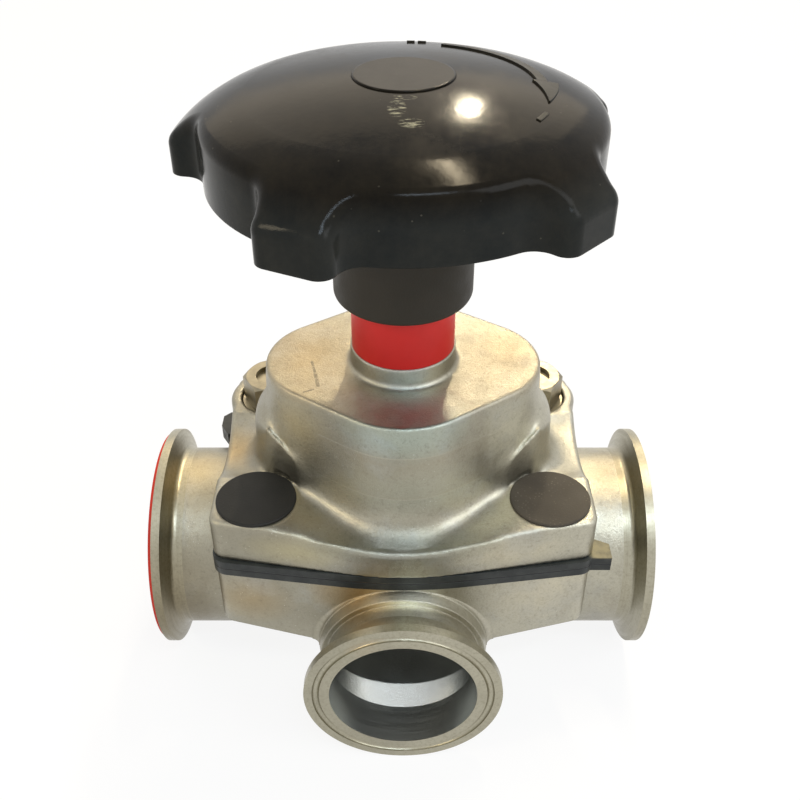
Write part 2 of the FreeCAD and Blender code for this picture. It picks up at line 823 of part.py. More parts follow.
def valley(name, half_width, base, turn):
    """A round-bottomed trough between two bosses."""
    radius = (half_width * half_width + D.valley_depth * D.valley_depth) / (2 * D.valley_depth)
    low = [as_size(part) for part in base]
    return cylinder(name, radius, LONG, (low[0], low[1], valley_bottom + radius), turn)


front_valley = valley("front_valley", D.valley_half_length, (0, LONG / 2, 0), ALONG_MINUS_Y)
side_valley = valley("side_valley", D.valley_half_width, (-LONG / 2, 0, 0), ALONG_X)
saddle = cut("saddle", bonnet_flange, [front_valley, side_valley])


def dome_lens(name, length, depth, front, tip, spread, height):
    """The dome's plan, spread outwards by a margin."""
    return outline(name, lens_corners(length + spread, depth + spread, front + spread,
                                      tip + spread), FLAT, (0, 0, height))


# The shoulder slopes up from the flange to the dome, which stands on its top
shoulder_low = valley_bottom - D.shoulder_rise + D.shoulder_lift
foot_form = (D.wing_length, D.dome_base_depth, D.dome_base_front_radius, D.wing_tip_radius)
shoulder_top = valley_bottom + D.shoulder_lift
dome_form = (D.dome_base_length, D.dome_base_depth, D.dome_base_front_radius,
             D.dome_base_tip_radius)
shoulder_foot = outline("shoulder_foot", lens_corners(
    D.wing_length + D.shoulder_tip_spread, D.dome_base_depth + D.shoulder_spread,
    D.dome_base_front_radius + D.shoulder_spread,
    D.wing_tip_radius + D.shoulder_tip_spread), FLAT, (0, 0, shoulder_low))
dome_base = dome_lens("dome_base", *dome_form, ZERO, shoulder_top)
shoulder_rings = [shoulder_foot]
for angle in (69, 46, 23, 0):
    turn = degrees(as_size(angle))
    spread = D.shoulder_fillet * (1 - cosine(turn)) - D.dome_sink
    height = shoulder_top + D.shoulder_fillet * (1 - sine(turn))
    shoulder_rings.append(dome_lens(f"shoulder_ring_{angle}", *foot_form, spread, height))
shoulder = lofted("shoulder", shoulder_rings)
flange_limit = extruded("flange_limit", bonnet_plan, 2 * D.bonnet_flange_height)
shoulder_in_flange = shared("shoulder_in_flange", [shoulder, flange_limit])
stepped_saddle = fused("stepped_saddle", [saddle, shoulder_in_flange])


def is_flange_top_edge(edge):
    """An edge where the flange's side wall meets its top."""
    if edge.BoundBox.ZMin < rim_top.value + 5 or edge.BoundBox.ZMax > boss_top.value + 0.1:
        return False
    places = [edge.valueAt(edge.FirstParameter + share * (edge.LastParameter
                                                          - edge.FirstParameter))
              for share in (0.1, 0.5, 0.9)]
    walls = [face for face in bonnet_flange.Shape.Faces
             if face.BoundBox.ZLength > D.bonnet_flange_height.value - 0.1]
    return any(all(face.distToShape(Part.Vertex(place))[0] < 0.001 for place in places)
               for face in walls)


soft_saddle = rounded("soft_saddle", stepped_saddle, D.flange_fillet, is_flange_top_edge)
dome_lid = dome_lens("dome_lid", D.dome_top_length, D.dome_top_depth,
                     D.dome_top_front_radius, D.dome_top_tip_radius, ZERO, dome_top)
dome = lofted("dome", [dome_base, dome_lid])
neck = cylinder("neck", D.neck_radius, neck_top - shoulder_top, (0, 0, shoulder_top))
dome_and_neck = fused("dome_and_neck", [dome, neck])


def is_at_height(height):
    return lambda edge: (abs(edge.BoundBox.ZMin - height.value) < 0.01
                         and abs(edge.BoundBox.ZMax - height.value) < 0.01)


def radius_of(edge):
    return getattr(edge.Curve, "Radius", 0)


def is_neck_base(edge):
    return is_at_height(dome_top)(edge) and abs(radius_of(edge) - D.neck_radius.value) < 0.01


soft_neck = rounded("soft_neck", dome_and_neck, D.neck_base_fillet, is_neck_base)


def is_dome_rim(edge):
    return is_at_height(dome_top)(edge) and edge.BoundBox.DiagonalLength > 5 and (
        math.hypot(edge.BoundBox.Center.x, edge.BoundBox.Center.y) > D.neck_radius.value + 5)


soft_dome = rounded("soft_dome", soft_neck, D.dome_edge_fillet, is_dome_rim)
spigot = cylinder("spigot", D.spigot_radius, sleeve_top - dome_top, (0, 0, dome_top))

# Upright wings on the dome's two ends; their tops run down towards the front and the rear
wing_top = dome_top - D.wing_below_top
wing_end = D.wing_length + D.wing_proud - D.wing_flat
wing_block = extruded("wing_block", dome_lens("wing_plan", *foot_form, D.wing_proud,
                                              shoulder_top), wing_top - shoulder_top)


def wing(name, plane, start_y):
    """One end of the wing block, below a curve that falls inwards."""
    side_view = outline(name + "_side_view", [
        (D.wing_start, shoulder_top, D.wing_slope_radius, LEFT),
        (wing_end, shoulder_top),
        (wing_end, wing_top - D.wing_corner),
        (wing_end - D.wing_corner, wing_top, D.wing_corner, LEFT),
    ], plane, (0, start_y, 0))
    limit = extruded(name + "_limit", side_view, LONG, Vector(0, -start_y, 0).normalize())
    return shared(name, [wing_block, limit])


wings = [wing("right_wing", FRONT, LONG / 2), wing("left_wing", BACK, -LONG / 2)]


def rear_boss(name, x, y):
    """A round boss under a nut, with a soft edge."""
    return turned(name, [
        (ZERO, ZERO),
        (D.rear_boss_radius, ZERO),
        (D.rear_boss_radius, D.bonnet_flange_height - D.flange_fillet),
        (D.rear_boss_radius - D.flange_fillet, D.bonnet_flange_height, D.flange_fillet, LEFT),
        (ZERO, D.bonnet_flange_height),
    ], (x, y, rim_top))


rear_bosses = [rear_boss(f"rear_boss_{number}", x, y)
               for number, (x, y) in enumerate(bolt_places(1))]
bonnet_outside = fused("bonnet_outside", [soft_saddle, soft_dome, *wings, *rear_bosses, spigot])
cavity = extruded("cavity", ellipse("cavity_plan", D.cavity_half_length, D.cavity_half_width,
                                    (0, 0, rim_top)), roof - rim_top)
bush_bore = cylinder("bush_bore", D.bush_radius, LONG, (0, 0, rim_top))
front_recesses = bolt_cylinders("front_recess", D.front_recess_radius,
                                boss_top - D.front_recess_depth, boss_top, FRONT_AND_REAR[:1])
cap_seats = bolt_cylinders("cap_seat", D.cap_radius + D.cap_clearance, boss_top,
                           boss_top + D.cap_seat_height, FRONT_AND_REAR[:1])
rear_recesses = bolt_cylinders("rear_recess", D.rear_recess_radius,
                               boss_top - D.rear_recess_depth,
                               boss_top + D.dome_top_height, FRONT_AND_REAR[1:])
bonnet_holes = bolt_cylinders("bonnet_hole", D.bolt_hole_radius, rim_top, boss_top)
bonnet = cut("bonnet", bonnet_outside,
             [cavity, bush_bore, *front_recesses, *cap_seats, *rear_recesses, *bonnet_holes])

# Bush with its seal groove, the seal, and the red sleeve round the spigot

spindle_hole = D.spindle_radius + D.running_clearance
seal_height = roof + D.seal_above_roof
seal_centre = D.spindle_radius + 0.1 + D.seal_section_radius
seal_groove_low = seal_height - D.seal_section_radius
seal_groove_high = seal_height + D.seal_section_radius
seal_groove_back = seal_centre + D.seal_section_radius
spindle_bush = turned("spindle_bush", [
    (spindle_hole, roof),
    (D.bush_radius, roof),
    (D.bush_radius, sleeve_top),
    (D.bush_flange_radius, sleeve_top),
    (D.bush_flange_radius, bush_top),
    (spindle_hole, bush_top),
    (spindle_hole, seal_groove_high),
    (seal_groove_back, seal_groove_high),
    (seal_groove_back, seal_groove_low),
    (spindle_hole, seal_groove_low),
])
spindle_seal = doc.addObject("Part::Torus", "spindle_seal")
bind(spindle_seal, "Radius1", seal_centre)
bind(spindle_seal, "Radius2", D.seal_section_radius)
put(spindle_seal, (0, 0, seal_height))
sleeve_bore = D.spigot_radius + D.sleeve_clearance
indicator_sleeve = turned("indicator_sleeve", [
    (sleeve_bore, neck_top),
    (D.sleeve_radius, neck_top),
    (D.sleeve_radius, sleeve_top),
    (sleeve_bore, sleeve_top),
])

# Fasteners


def washers(name, radius, floor, pair):
    """Two plain washers on the floor of their recesses."""
    rings = []
    for number, (x, y) in enumerate(bolt_places(pair)):
        disc = cylinder(f"{name}_disc_{number}", radius, D.washer_thickness, (x, y, floor))
        hole = cylinder(f"{name}_hole_{number}", D.bolt_hole_radius, D.washer_thickness,
                        (x, y, floor))
        rings.append(cut(f"{name}_ring_{number}", disc, [hole]))
    return group(name, rings)


def group(name, things):
    """Identical pieces of one node, kept as separate solids."""
    thing = doc.addObject("Part::Compound", name)
    thing.Links = things
    return thing


def hex_nut(name, flats, height, hole, base):
    """A nut with both faces chamfered round."""
    x, y, low = base
    bar = prism_of_flats(name + "_bar", flats, height, base)
    across = flats / 2 / cosine(Size(30, "(30 * 1 deg)"))
    drop = across - flats / 2
    crown = turned(name + "_crown", [
        (hole, ZERO),
        (flats / 2, ZERO),
        (across, drop * 0.6),
        (across, height - drop * 0.6),
        (flats / 2, height),
        (hole, height),
    ], base)
    return shared(name, [bar, crown])


rear_floor = boss_top - D.rear_recess_depth
front_floor = boss_top - D.front_recess_depth
rear_washers = washers("rear_washers", D.rear_washer_radius, rear_floor, 1)
nut_floor = rear_floor + D.washer_thickness
nut_hole = D.bolt_radius + D.thread_clearance
rear_nuts = group("rear_nuts", [
    hex_nut(f"rear_nut_{number}", D.nut_across_flats, D.nut_height, nut_hole, (x, y, nut_floor))
    for number, (x, y) in enumerate(bolt_places(1))])
stud_top = nut_floor + D.nut_height - D.stud_below_nut
rear_studs = group("rear_studs", bolt_cylinders("rear_stud", D.bolt_radius,
                                                joint - D.tapped_depth, stud_top, (1,)))
front_washers = washers("front_washers", D.front_washer_radius, front_floor, -1)
screw_seat = front_floor + D.washer_thickness
screw_low = joint - D.tapped_depth


def cap_screw(number, x, y):
    """A low-head screw with a hexagon socket."""
    blank = turned(f"front_screw_blank_{number}", [
        (ZERO, ZERO),
        (D.bolt_radius, ZERO),
        (D.bolt_radius, screw_seat - screw_low),
        (D.screw_head_radius, screw_seat - screw_low),
        (D.screw_head_radius,
         screw_seat - screw_low + D.screw_head_height - D.screw_head_chamfer),
        (D.screw_head_radius - D.screw_head_chamfer,
         screw_seat - screw_low + D.screw_head_height),
        (ZERO, screw_seat - screw_low + D.screw_head_height),
    ], (x, y, screw_low))
    socket = prism_of_flats(f"front_screw_socket_{number}", D.screw_socket_flats,
                            D.screw_socket_depth + MARGIN,
                            (x, y, screw_seat + D.screw_head_height - D.screw_socket_depth))
    return cut(f"front_screw_{number}", blank, [socket])


front_screws = group("front_screws", [cap_screw(number, x, y)
                                      for number, (x, y) in enumerate(bolt_places(-1))])


def bolt_cap(name, side):
    """A flat cover on the boss, with a softened edge and a short plug in the recess."""
    plug = D.front_recess_radius - D.thread_clearance
    edge = 0.5
    return turned(name, [
        (plug - D.cap_plug_wall, -D.cap_plug_depth),
        (plug, -D.cap_plug_depth),
        (plug, ZERO),
        (D.cap_radius, ZERO),
        (D.cap_radius, D.cap_proud - edge),
        (D.cap_radius - edge, D.cap_proud, as_size(edge), LEFT),
        (ZERO, D.cap_proud),
        (ZERO, D.cap_proud - D.cap_thickness),
        (plug - D.cap_plug_wall, D.cap_proud - D.cap_thickness),
    ], (D.bolt_half_spacing_x * side, -D.bolt_half_spacing_y, boss_top))


right_bolt_cap = bolt_cap("right_bolt_cap", 1)
left_bolt_cap = bolt_cap("left_bolt_cap", -1)

# Compressor: curved rib and fingers, guide plate, hub with a blind bore and two cross pins

guide_low = foot + D.guide_height_above_foot
rib_block = box("rib_block", (-D.rib_half_length, -D.rib_half_width, foot),
                (D.rib_half_length, D.rib_half_width, guide_low + D.guide_thickness))
rib_curve = dish_radius - D.web_thickness
rib_under = cylinder("rib_under", rib_curve, LONG, (0, LONG / 2, foot + rib_curve), ALONG_MINUS_Y)
rib = shared("rib", [rib_block, rib_under])
finger_block = box("finger_block", (-D.finger_half_width, -D.finger_half_length, foot),
                   (D.finger_half_width, D.finger_half_length, guide_low + D.guide_thickness))
finger_under = cylinder("finger_under", D.finger_under_radius, LONG,
                        (-LONG / 2, 0, foot + D.finger_under_radius), ALONG_X)
finger = shared("finger", [finger_block, finger_under])
guide = extruded("guide", ellipse("guide_plan", D.cavity_half_length - D.guide_clearance,
                                  D.cavity_half_width - D.guide_clearance, (0, 0, guide_low)),
                 D.guide_thickness)
hub = cylinder("hub", D.hub_radius, hub_top - guide_low, (0, 0, guide_low))
hub_bore = cylinder("hub_bore", spindle_hole, D.hub_bore_depth, (0, 0, hub_top - D.hub_bore_depth))
pin_offset = D.groove_bottom_radius + D.pin_gap + D.pin_radius
pin_half_length = root(D.hub_radius * D.hub_radius - pin_offset * pin_offset)
pin_holes = [cylinder(f"pin_hole_{number}", D.pin_radius, LONG,
                      (-LONG / 2, pin_offset * side, pin_height), ALONG_X)
             for number, side in enumerate(RIGHT_AND_LEFT)]
stud_hole = cylinder("stud_hole", D.web_stud_radius, D.web_stud_length, (0, 0, stud_low))
compressor = cut("compressor", fused("compressor_blank", [rib, finger, guide, hub]),
                 [hub_bore, *pin_holes, stud_hole])
compressor_pins = group("compressor_pins", [
    cylinder(f"compressor_pin_{number}", D.pin_radius, 2 * pin_half_length,
             (-pin_half_length, pin_offset * side, pin_height), ALONG_X)
    for number, side in enumerate(RIGHT_AND_LEFT)])
bore_floor = hub_top - D.hub_bore_depth
thrust_washer = cylinder("thrust_washer", D.spindle_radius - D.pin_gap, D.thrust_thickness,
                         (0, 0, bore_floor))

# Spindle: plain end and groove below, thread in the middle, square and stub above

spindle_low = bore_floor + D.thrust_thickness + D.pin_gap
groove_half = D.pin_radius + D.pin_gap
spindle_top = square_top + D.spindle_end_length
spindle_end = D.spindle_end_radius - D.spindle_end_relief
spindle_blank = turned("spindle_blank", [
    (ZERO, spindle_low),
    (D.spindle_radius, spindle_low),
    (D.spindle_radius, pin_height - groove_half),
    (D.groove_bottom_radius, pin_height - groove_half),
    (D.groove_bottom_radius, pin_height + groove_half),
    (D.spindle_radius, pin_height + groove_half),
    (D.spindle_radius, square_top),
    (spindle_end, square_top),
    (spindle_end, spindle_top - D.spindle_end_chamfer),
    (spindle_end - D.spindle_end_chamfer, spindle_top),
    (ZERO, spindle_top),
])
square_blank = cylinder("square_blank", D.spindle_radius + MARGIN, D.square_length,
                        (0, 0, collar_top))
square_bar = prism_of_flats("square_bar", D.square_flats, D.square_length, (0, 0, collar_top), 4)
square_cut = cut("square_cut", square_blank, [square_bar])
spindle = cut("spindle", spindle_blank, [square_cut])

# Collar, and the handwheel with its insert, washer, nut and medallion

collar_room = collar_top - D.collar_roof
handwheel_collar = turned("handwheel_collar", [
    (D.collar_bore_radius, collar_bottom),
    (D.collar_radius - D.collar_edge_fillet, collar_bottom),
    (D.collar_radius, collar_bottom + D.collar_edge_fillet, D.collar_edge_fillet, LEFT),
    (D.collar_radius, collar_top),
    (spindle_hole, collar_top),
    (spindle_hole, collar_room),
    (D.collar_bore_radius, collar_room),
])


def lobe_corners(rim, reach, half, corner, hollow):
    """Plan of one lobe along +X, with round outer corners and hollow roots at the rim."""
    root_y = half + hollow
    root_x = root((rim + hollow) * (rim + hollow) - root_y * root_y)
    share = rim / (rim + hollow)
    return [
        (root_x * share, -root_y * share),
        (root_x, -half, hollow, RIGHT),
        (reach - corner, -half),
        (reach, corner - half, corner, LEFT),
        (reach, half - corner),
        (reach - corner, half, corner, LEFT),
        (root_x, half),
        (root_x * share, root_y * share, hollow, RIGHT),
        (rim / 2, root_y * share),
        (rim / 2, -root_y * share),
    ]


def wheel_block(name, inset, low):
    """The wheel's outer form, or its hollow when it is drawn inset by the wall."""
    body = doc.addObject("PartDesign::Body", name)
    rim = rim_radius - inset
    end = D.lobe_reach + D.lobe_end_margin
    crown = D.crown_radius - inset
    fall = D.fall_radius - inset
    join_x = fall_start * crown / D.crown_radius
    join_z = wheel_top - D.crown_radius + crown_level * crown / D.crown_radius
    end_z = (wheel_top - fall_drop
             + root(fall * fall - (end - fall_x) * (end - fall_x)))
    top = wheel_top - inset
    disc = body.newObject("Sketcher::SketchObject", name + "_disc")
    disc.AttachmentSupport = (origin_feature(body, "XY_Plane"), [""])
    disc.MapMode = "FlatFace"
    disc.addGeometry(Part.Circle(Vector(0, 0, 0), Vector(0, 0, 1), rim.value), False)
    disc.addConstraint(Sketcher.Constraint("Coincident", 0, 3, -1, 1))
    index = disc.addConstraint(Sketcher.Constraint("Radius", 0, rim.value))
    disc.setExpression(f"Constraints[{index}]", rim.formula)
    bind(disc, "AttachmentOffset.Base.z", low)
    plate = body.newObject("PartDesign::Pad", name + "_plate")
    plate.Profile = disc
    bind(plate, "Length", top - low)
    lobe_sketch = body_sketch(body, name + "_lobe_plan", "XY_Plane", lobe_corners(
        rim, D.lobe_reach - inset, D.lobe_half_width - inset,
        D.lobe_corner - inset / 2, D.lobe_root + inset), low)
    lobe = body.newObject("PartDesign::Pad", name + "_lobe")
    lobe.Profile = lobe_sketch
    bind(lobe, "Length", top - low)
    lobes = body.newObject("PartDesign::PolarPattern", name + "_lobes")
    lobes.Originals = [lobe]
    lobes.Axis = (origin_feature(body, "Z_Axis"), [""])
    lobes.Angle = 360
    bind(lobes, "Occurrences", D.lobe_count)
    body.Tip = lobes
    doc.recompute()
    trim_profile = body_sketch(body, name + "_trim_profile", "XZ_Plane", [
        (ZERO, top),
        (join_x, join_z, crown, RIGHT),
        (end, end_z, fall, RIGHT),
        (end, top + MARGIN),
        (ZERO, top + MARGIN),
    ])
    trim = body.newObject("PartDesign::Groove", name + "_trim")
    trim.Profile = trim_profile
    trim.ReferenceAxis = (trim_profile, ["V_Axis"])
    trim.Angle = 360
    body.Tip = trim
    return put(body, turn=Rotation(Vector(0, 0, 1), D.lobe_phase.value))


wheel_form = wheel_block("wheel_form", ZERO, wheel_bottom)


def is_wheel_top_edge(edge):
    """An edge where the crown meets the rim's wall or a lobe's wall."""
    middle = edge.valueAt((edge.FirstParameter + edge.LastParameter) / 2)
    if middle.z < wheel_bottom.value + 2 or edge.BoundBox.ZMax > wheel_top.value - 2:
        return False
    upright = edge.BoundBox.ZMin < wheel_bottom.value + 1
    return not upright and math.hypot(middle.x, middle.y) > rim_radius.value - 1


soft_wheel = rounded("soft_wheel", wheel_form, D.wheel_edge_fillet, is_wheel_top_edge)
wheel_hollow = wheel_block("wheel_hollow", D.wheel_wall, wheel_bottom - MARGIN)
wheel_shell = cut("wheel_shell", soft_wheel, [wheel_hollow])
nut_pocket_floor = square_top
wheel_hub = cylinder("wheel_hub", D.wheel_hub_radius, wheel_top - D.wheel_wall - collar_top,
                     (0, 0, collar_top))
# The spokes run into the wheel's wall, to half its thickness
spoke_room = wheel_block("spoke_room", D.wheel_wall / 2, wheel_bottom)
ribs = []
for number in range(int(D.lobe_count.value)):
    spoke = box(f"spoke_{number}", (0, -D.wheel_rib_half_width, wheel_bottom + MARGIN),
                (rim_radius, D.wheel_rib_half_width, wheel_top))
    spoke.Placement.Rotation = Rotation(Vector(0, 0, 1), 360 / D.lobe_count.value * number)
    ribs.append(spoke)
wheel_spokes = shared("wheel_spokes", [fused("spokes", ribs), spoke_room])
insert_hole = cylinder("insert_hole", D.insert_radius, D.square_length, (0, 0, collar_top))
nut_pocket = cylinder("nut_pocket", D.nut_pocket_radius, LONG, (0, 0, nut_pocket_floor))
medallion_seat = cylinder("medallion_seat", D.medallion_radius + D.thread_clearance,
                          LONG, (0, 0, wheel_top - D.medallion_thickness))
handwheel = cut("handwheel", fused("wheel_blank", [wheel_shell, wheel_hub, wheel_spokes]),
                [insert_hole, nut_pocket, medallion_seat])
insert_disc = cylinder("insert_disc", D.insert_radius, D.square_length, (0, 0, collar_top))
insert_square = prism_of_flats("insert_square", D.square_flats + D.thread_clearance,
                               D.square_length, (0, 0, collar_top), 4)
hub_insert = cut("hub_insert", insert_disc, [insert_square])
hub_washer = cut("hub_washer",
                 cylinder("hub_washer_disc", D.hub_washer_radius, D.hub_washer_thickness,
                          (0, 0, square_top)),
                 [cylinder("hub_washer_hole", D.spindle_end_radius, D.hub_washer_thickness,
                           (0, 0, square_top))])
hub_nut = hex_nut("hub_nut", D.nut_across_flats, D.hub_nut_height, D.spindle_end_radius,
                  (ZERO, ZERO, square_top + D.hub_washer_thickness))
medallion_edge = 0.4
handwheel_medallion = turned("handwheel_medallion", [
    (ZERO, wheel_top - D.medallion_thickness),
    (D.medallion_radius, wheel_top - D.medallion_thickness),
    (D.medallion_radius, wheel_top - medallion_edge),
    (D.medallion_radius - medallion_edge, wheel_top, as_size(medallion_edge), LEFT),
    (ZERO, wheel_top),
])

# Check every object, then write one file for each node

NODES = [
    body_casting, left_ferrule, right_ferrule, outlet_ferrule, left_clamp_seal,
    diaphragm_rim, diaphragm_web, diaphragm_stud, bonnet, spindle_bush, spindle_seal,
    indicator_sleeve, rear_washers, rear_nuts, rear_studs, front_washers, front_screws,
    right_bolt_cap, left_bolt_cap, compressor, compressor_pins, thrust_washer, spindle,
    handwheel_collar, handwheel, hub_insert, hub_washer, hub_nut, handwheel_medallion,
]
doc.recompute()
for thing in doc.Objects:
    if "Invalid" in thing.State or "Error" in thing.State:
        raise RuntimeError(f"{thing.Label} did not build: {thing.State}")
for node in NODES:
    if node.Shape.isNull() or not node.Shape.isValid() or node.Shape.Volume <= 0:
        raise RuntimeError(f"{node.Label} has no valid solid")
os.makedirs("parts", exist_ok=True)
for node in NODES:
    node.Shape.exportStep(f"parts/{node.Label}.step")
    extent = node.Shape.BoundBox
    print(f"{node.Label}: {len(node.Shape.Solids)} solid, {node.Shape.Volume:.0f} mm3, "
          f"x {extent.XMin:.1f} to {extent.XMax:.1f}, y {extent.YMin:.1f} to {extent.YMax:.1f}, "
          f"z {extent.ZMin:.1f} to {extent.ZMax:.1f}")
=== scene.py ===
import math
import bpy
import numpy as np
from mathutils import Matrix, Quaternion, Vector


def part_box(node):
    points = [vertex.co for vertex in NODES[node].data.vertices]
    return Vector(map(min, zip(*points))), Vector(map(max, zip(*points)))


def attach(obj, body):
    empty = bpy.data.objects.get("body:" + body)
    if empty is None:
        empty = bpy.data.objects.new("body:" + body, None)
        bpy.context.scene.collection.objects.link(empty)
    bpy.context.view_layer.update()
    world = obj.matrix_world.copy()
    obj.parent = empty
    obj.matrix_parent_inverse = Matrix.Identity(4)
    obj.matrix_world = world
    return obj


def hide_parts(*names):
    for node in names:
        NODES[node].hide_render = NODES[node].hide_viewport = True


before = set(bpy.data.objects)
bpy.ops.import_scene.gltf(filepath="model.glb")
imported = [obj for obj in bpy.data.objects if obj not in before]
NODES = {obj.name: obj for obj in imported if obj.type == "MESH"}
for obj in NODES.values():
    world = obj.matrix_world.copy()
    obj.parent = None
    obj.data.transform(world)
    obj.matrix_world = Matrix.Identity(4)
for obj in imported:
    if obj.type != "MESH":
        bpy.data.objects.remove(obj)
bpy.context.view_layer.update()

# Hygienic diaphragm valve: finishes, the bonnet's wide fillets, small raised details, light
# and camera. Metres, +Z up along the spindle, +X along the run, -Y out of the branch outlet.

MM = 0.001
WHEEL_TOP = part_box("handwheel")[1].z
WHEEL_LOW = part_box("handwheel")[0].z
RIM_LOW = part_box("diaphragm_rim")[0].z
RIM_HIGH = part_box("diaphragm_rim")[1].z
OUTLET_AXIS = 0.0320
OUTLET_BORE = 0.0238
OUTLET_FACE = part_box("outlet_ferrule")[0].y
CASTING_END = 0.0610
CASTING_FRONT = -0.0545
DOME_TOP = 0.1172
BOLT_PLACE = (0.0473, 0.0288)

# The wheel's crown: a wide arc out to its reach, then a tighter one over the shoulder
CROWN_RADIUS = 0.200
CROWN_REACH = 0.044
SHOULDER_RADIUS = 0.040

BEVEL_SAMPLES = 4
PAINTED_LIGHT_SOFTNESS = 0.9


class Nodes:
    """Short calls that add linked nodes to one node tree."""

    def __init__(self, tree):
        self.tree = tree

    def feed(self, socket, value):
        """Gives an input another node's output, or else a number, a vector or a colour."""
        if isinstance(value, bpy.types.NodeSocket):
            self.tree.links.new(value, socket)
        elif socket.type == "RGBA":
            socket.default_value = (*value, 1.0)
        else:
            socket.default_value = value

    def add(self, kind, *values, settings=None, **inputs):
        """A node with its settings; values feed its inputs in order, or those of the same name."""
        made = self.tree.nodes.new(kind)
        for name, value in (settings or {}).items():
            setattr(made, name, value)
        for socket, value in zip(made.inputs, values):
            self.feed(socket, value)
        for name, value in inputs.items():
            self.feed(made.inputs[name.replace("_", " ")], value)
        return made

    def maths(self, operation, first, second=0.0, clamp=False):
        """A sum, product or the like of two numbers."""
        made = self.add("ShaderNodeMath", first, second,
                        settings={"operation": operation, "use_clamp": clamp})
        return made.outputs[0]

    def most(self, *values):
        """The largest of several factors."""
        made = values[0]
        for value in values[1:]:
            made = self.maths("MAXIMUM", made, value)
        return made

    def both(self, *values):
        """The product of several factors."""
        made = values[0]
        for value in values[1:]:
            made = self.maths("MULTIPLY", made, value)
        return made

    def seen_directly(self):
        """1 for camera, glossy and transmission rays, which meet the white background."""
        path = self.add("ShaderNodeLightPath")
        return self.most(*(path.outputs[name] for name in
                           ("Is Camera Ray", "Is Glossy Ray", "Is Transmission Ray")))


class Finish(Nodes):
    """A procedural material on one Principled shader, placed in the part's own frame."""

    def __init__(self, name, **sockets):
        self.material = bpy.data.materials.new(name)
        self.material.use_nodes = True
        super().__init__(self.material.node_tree)
        self.shader = self.tree.nodes["Principled BSDF"]
        for socket, value in sockets.items():
            self.feed(self.shader.inputs[socket.replace("_", " ")], value)
        self.place = self.add("ShaderNodeTexCoord").outputs["Object"]

    def stretched(self, scale, turn=0.0):
        """The place scaled apart along the three axes, then turned about Z by some degrees."""
        made = self.add("ShaderNodeMapping", Vector=self.place, Scale=scale,
                        Rotation=(0.0, 0.0, math.radians(turn)))
        return made.outputs["Vector"]

    def axis(self, letter):
        """The place along one axis."""
        return self.add("ShaderNodeSeparateXYZ", Vector=self.place).outputs[letter]

    def vector(self, operation, first, second=(0.0, 0.0, 0.0)):
        """A vector from two vectors, or a number where the operation gives one."""
        made = self.add("ShaderNodeVectorMath", first, second, settings={"operation": operation})
        return made.outputs["Value" if operation in ("LENGTH", "DOT_PRODUCT") else "Vector"]

    def noise(self, scale, detail, roughness=0.55, place=None):
        """Random clouds around 0.5, with scale features to the metre."""
        made = self.add("ShaderNodeTexNoise", Vector=place or self.place, Scale=scale,
                        Detail=detail, Roughness=roughness)
        return made.outputs["Fac"]

    def specks(self, scale, size):
        """1 in small scattered spots, 0 elsewhere."""
        cells = self.add("ShaderNodeTexVoronoi", Vector=self.place, Scale=scale)
        return self.maths("LESS_THAN", cells.outputs["Distance"], size)

    def ramp(self, factor, low, high, start, end):
        """A factor from start to end, mapped to low and high."""
        made = self.add("ShaderNodeMapRange", settings={"clamp": True}, Value=factor,
                        From_Min=start, From_Max=end, To_Min=low, To_Max=high)
        return made.outputs["Result"]

    def between(self, value, low, high, soft):
        """1 between two levels, with soft edges."""
        return self.both(self.ramp(value, 0.0, 1.0, low - soft, low + soft),
                         self.ramp(value, 1.0, 0.0, high - soft, high + soft))

    def near(self, centre, radii, soft):
        """1 close to a point, falling to 0 at a radius for each axis over a soft share of it."""
        away = self.vector("DIVIDE", self.vector("SUBTRACT", self.place, centre), radii)
        return self.ramp(self.vector("LENGTH", away), 1.0, 0.0, 1 - soft, 1.0)

    def stroke(self, start, end, width):
        """1 along a straight stroke between two points, 0 at half its width."""
        run = tuple(b - a for a, b in zip(start, end))
        squared = sum(part * part for part in run)
        away = self.vector("SUBTRACT", self.place, start)
        share = self.ramp(self.vector("DOT_PRODUCT", away, run), 0.0, 1.0, 0.0, squared)
        along = self.add("ShaderNodeVectorMath", run, settings={"operation": "SCALE"},
                         Scale=share)
        off = self.vector("SUBTRACT", away, along.outputs["Vector"])
        return self.ramp(self.vector("LENGTH", off), 1.0, 0.0, width / 4, width / 2)

    def mix(self, factor, first, second, blend="MIX"):
        """Blend of two colours."""
        made = self.add("ShaderNodeMix", factor,
                        settings={"data_type": "RGBA", "blend_type": blend})
        ends = [socket for socket in made.inputs if socket.type == "RGBA"]
        for socket, colour in zip(ends, (first, second)):
            self.feed(socket, colour)
        return next(socket for socket in made.outputs if socket.type == "RGBA")

    def colour(self, value):
        self.feed(self.shader.inputs["Base Color"], value)

    def roughness(self, value):
        self.feed(self.shader.inputs["Roughness"], value)

    def colour_so_far(self):
        return self.shader.inputs["Base Color"].links[0].from_socket

    def lay_over(self, factor, tint):
        """One more tint over the colour so far."""
        self.colour(self.mix(factor, self.colour_so_far(), tint))

    def add_painted_light(self, painted_patches):
        """Painted light and shade: soft patches, each with a centre, radii and a ratio by which
        the colour changes.
        """
        for centre, radii, ratio in painted_patches:
            self.colour(self.mix(self.near(centre, radii, PAINTED_LIGHT_SOFTNESS), self.colour_so_far(),
                                 ratio, "MULTIPLY"))

    def bump(self, height, depth, strength, edge=0.3 * MM):
        """Relief from a height, over edges that are softened within a radius."""
        soft = self.add("ShaderNodeBevel", settings={"samples": BEVEL_SAMPLES}, Radius=edge)
        made = self.add("ShaderNodeBump", Height=height, Strength=strength, Distance=depth,
                        Normal=soft.outputs["Normal"])
        self.feed(self.shader.inputs["Normal"], made.outputs["Normal"])


# Finishes: colours are linear red, green and blue


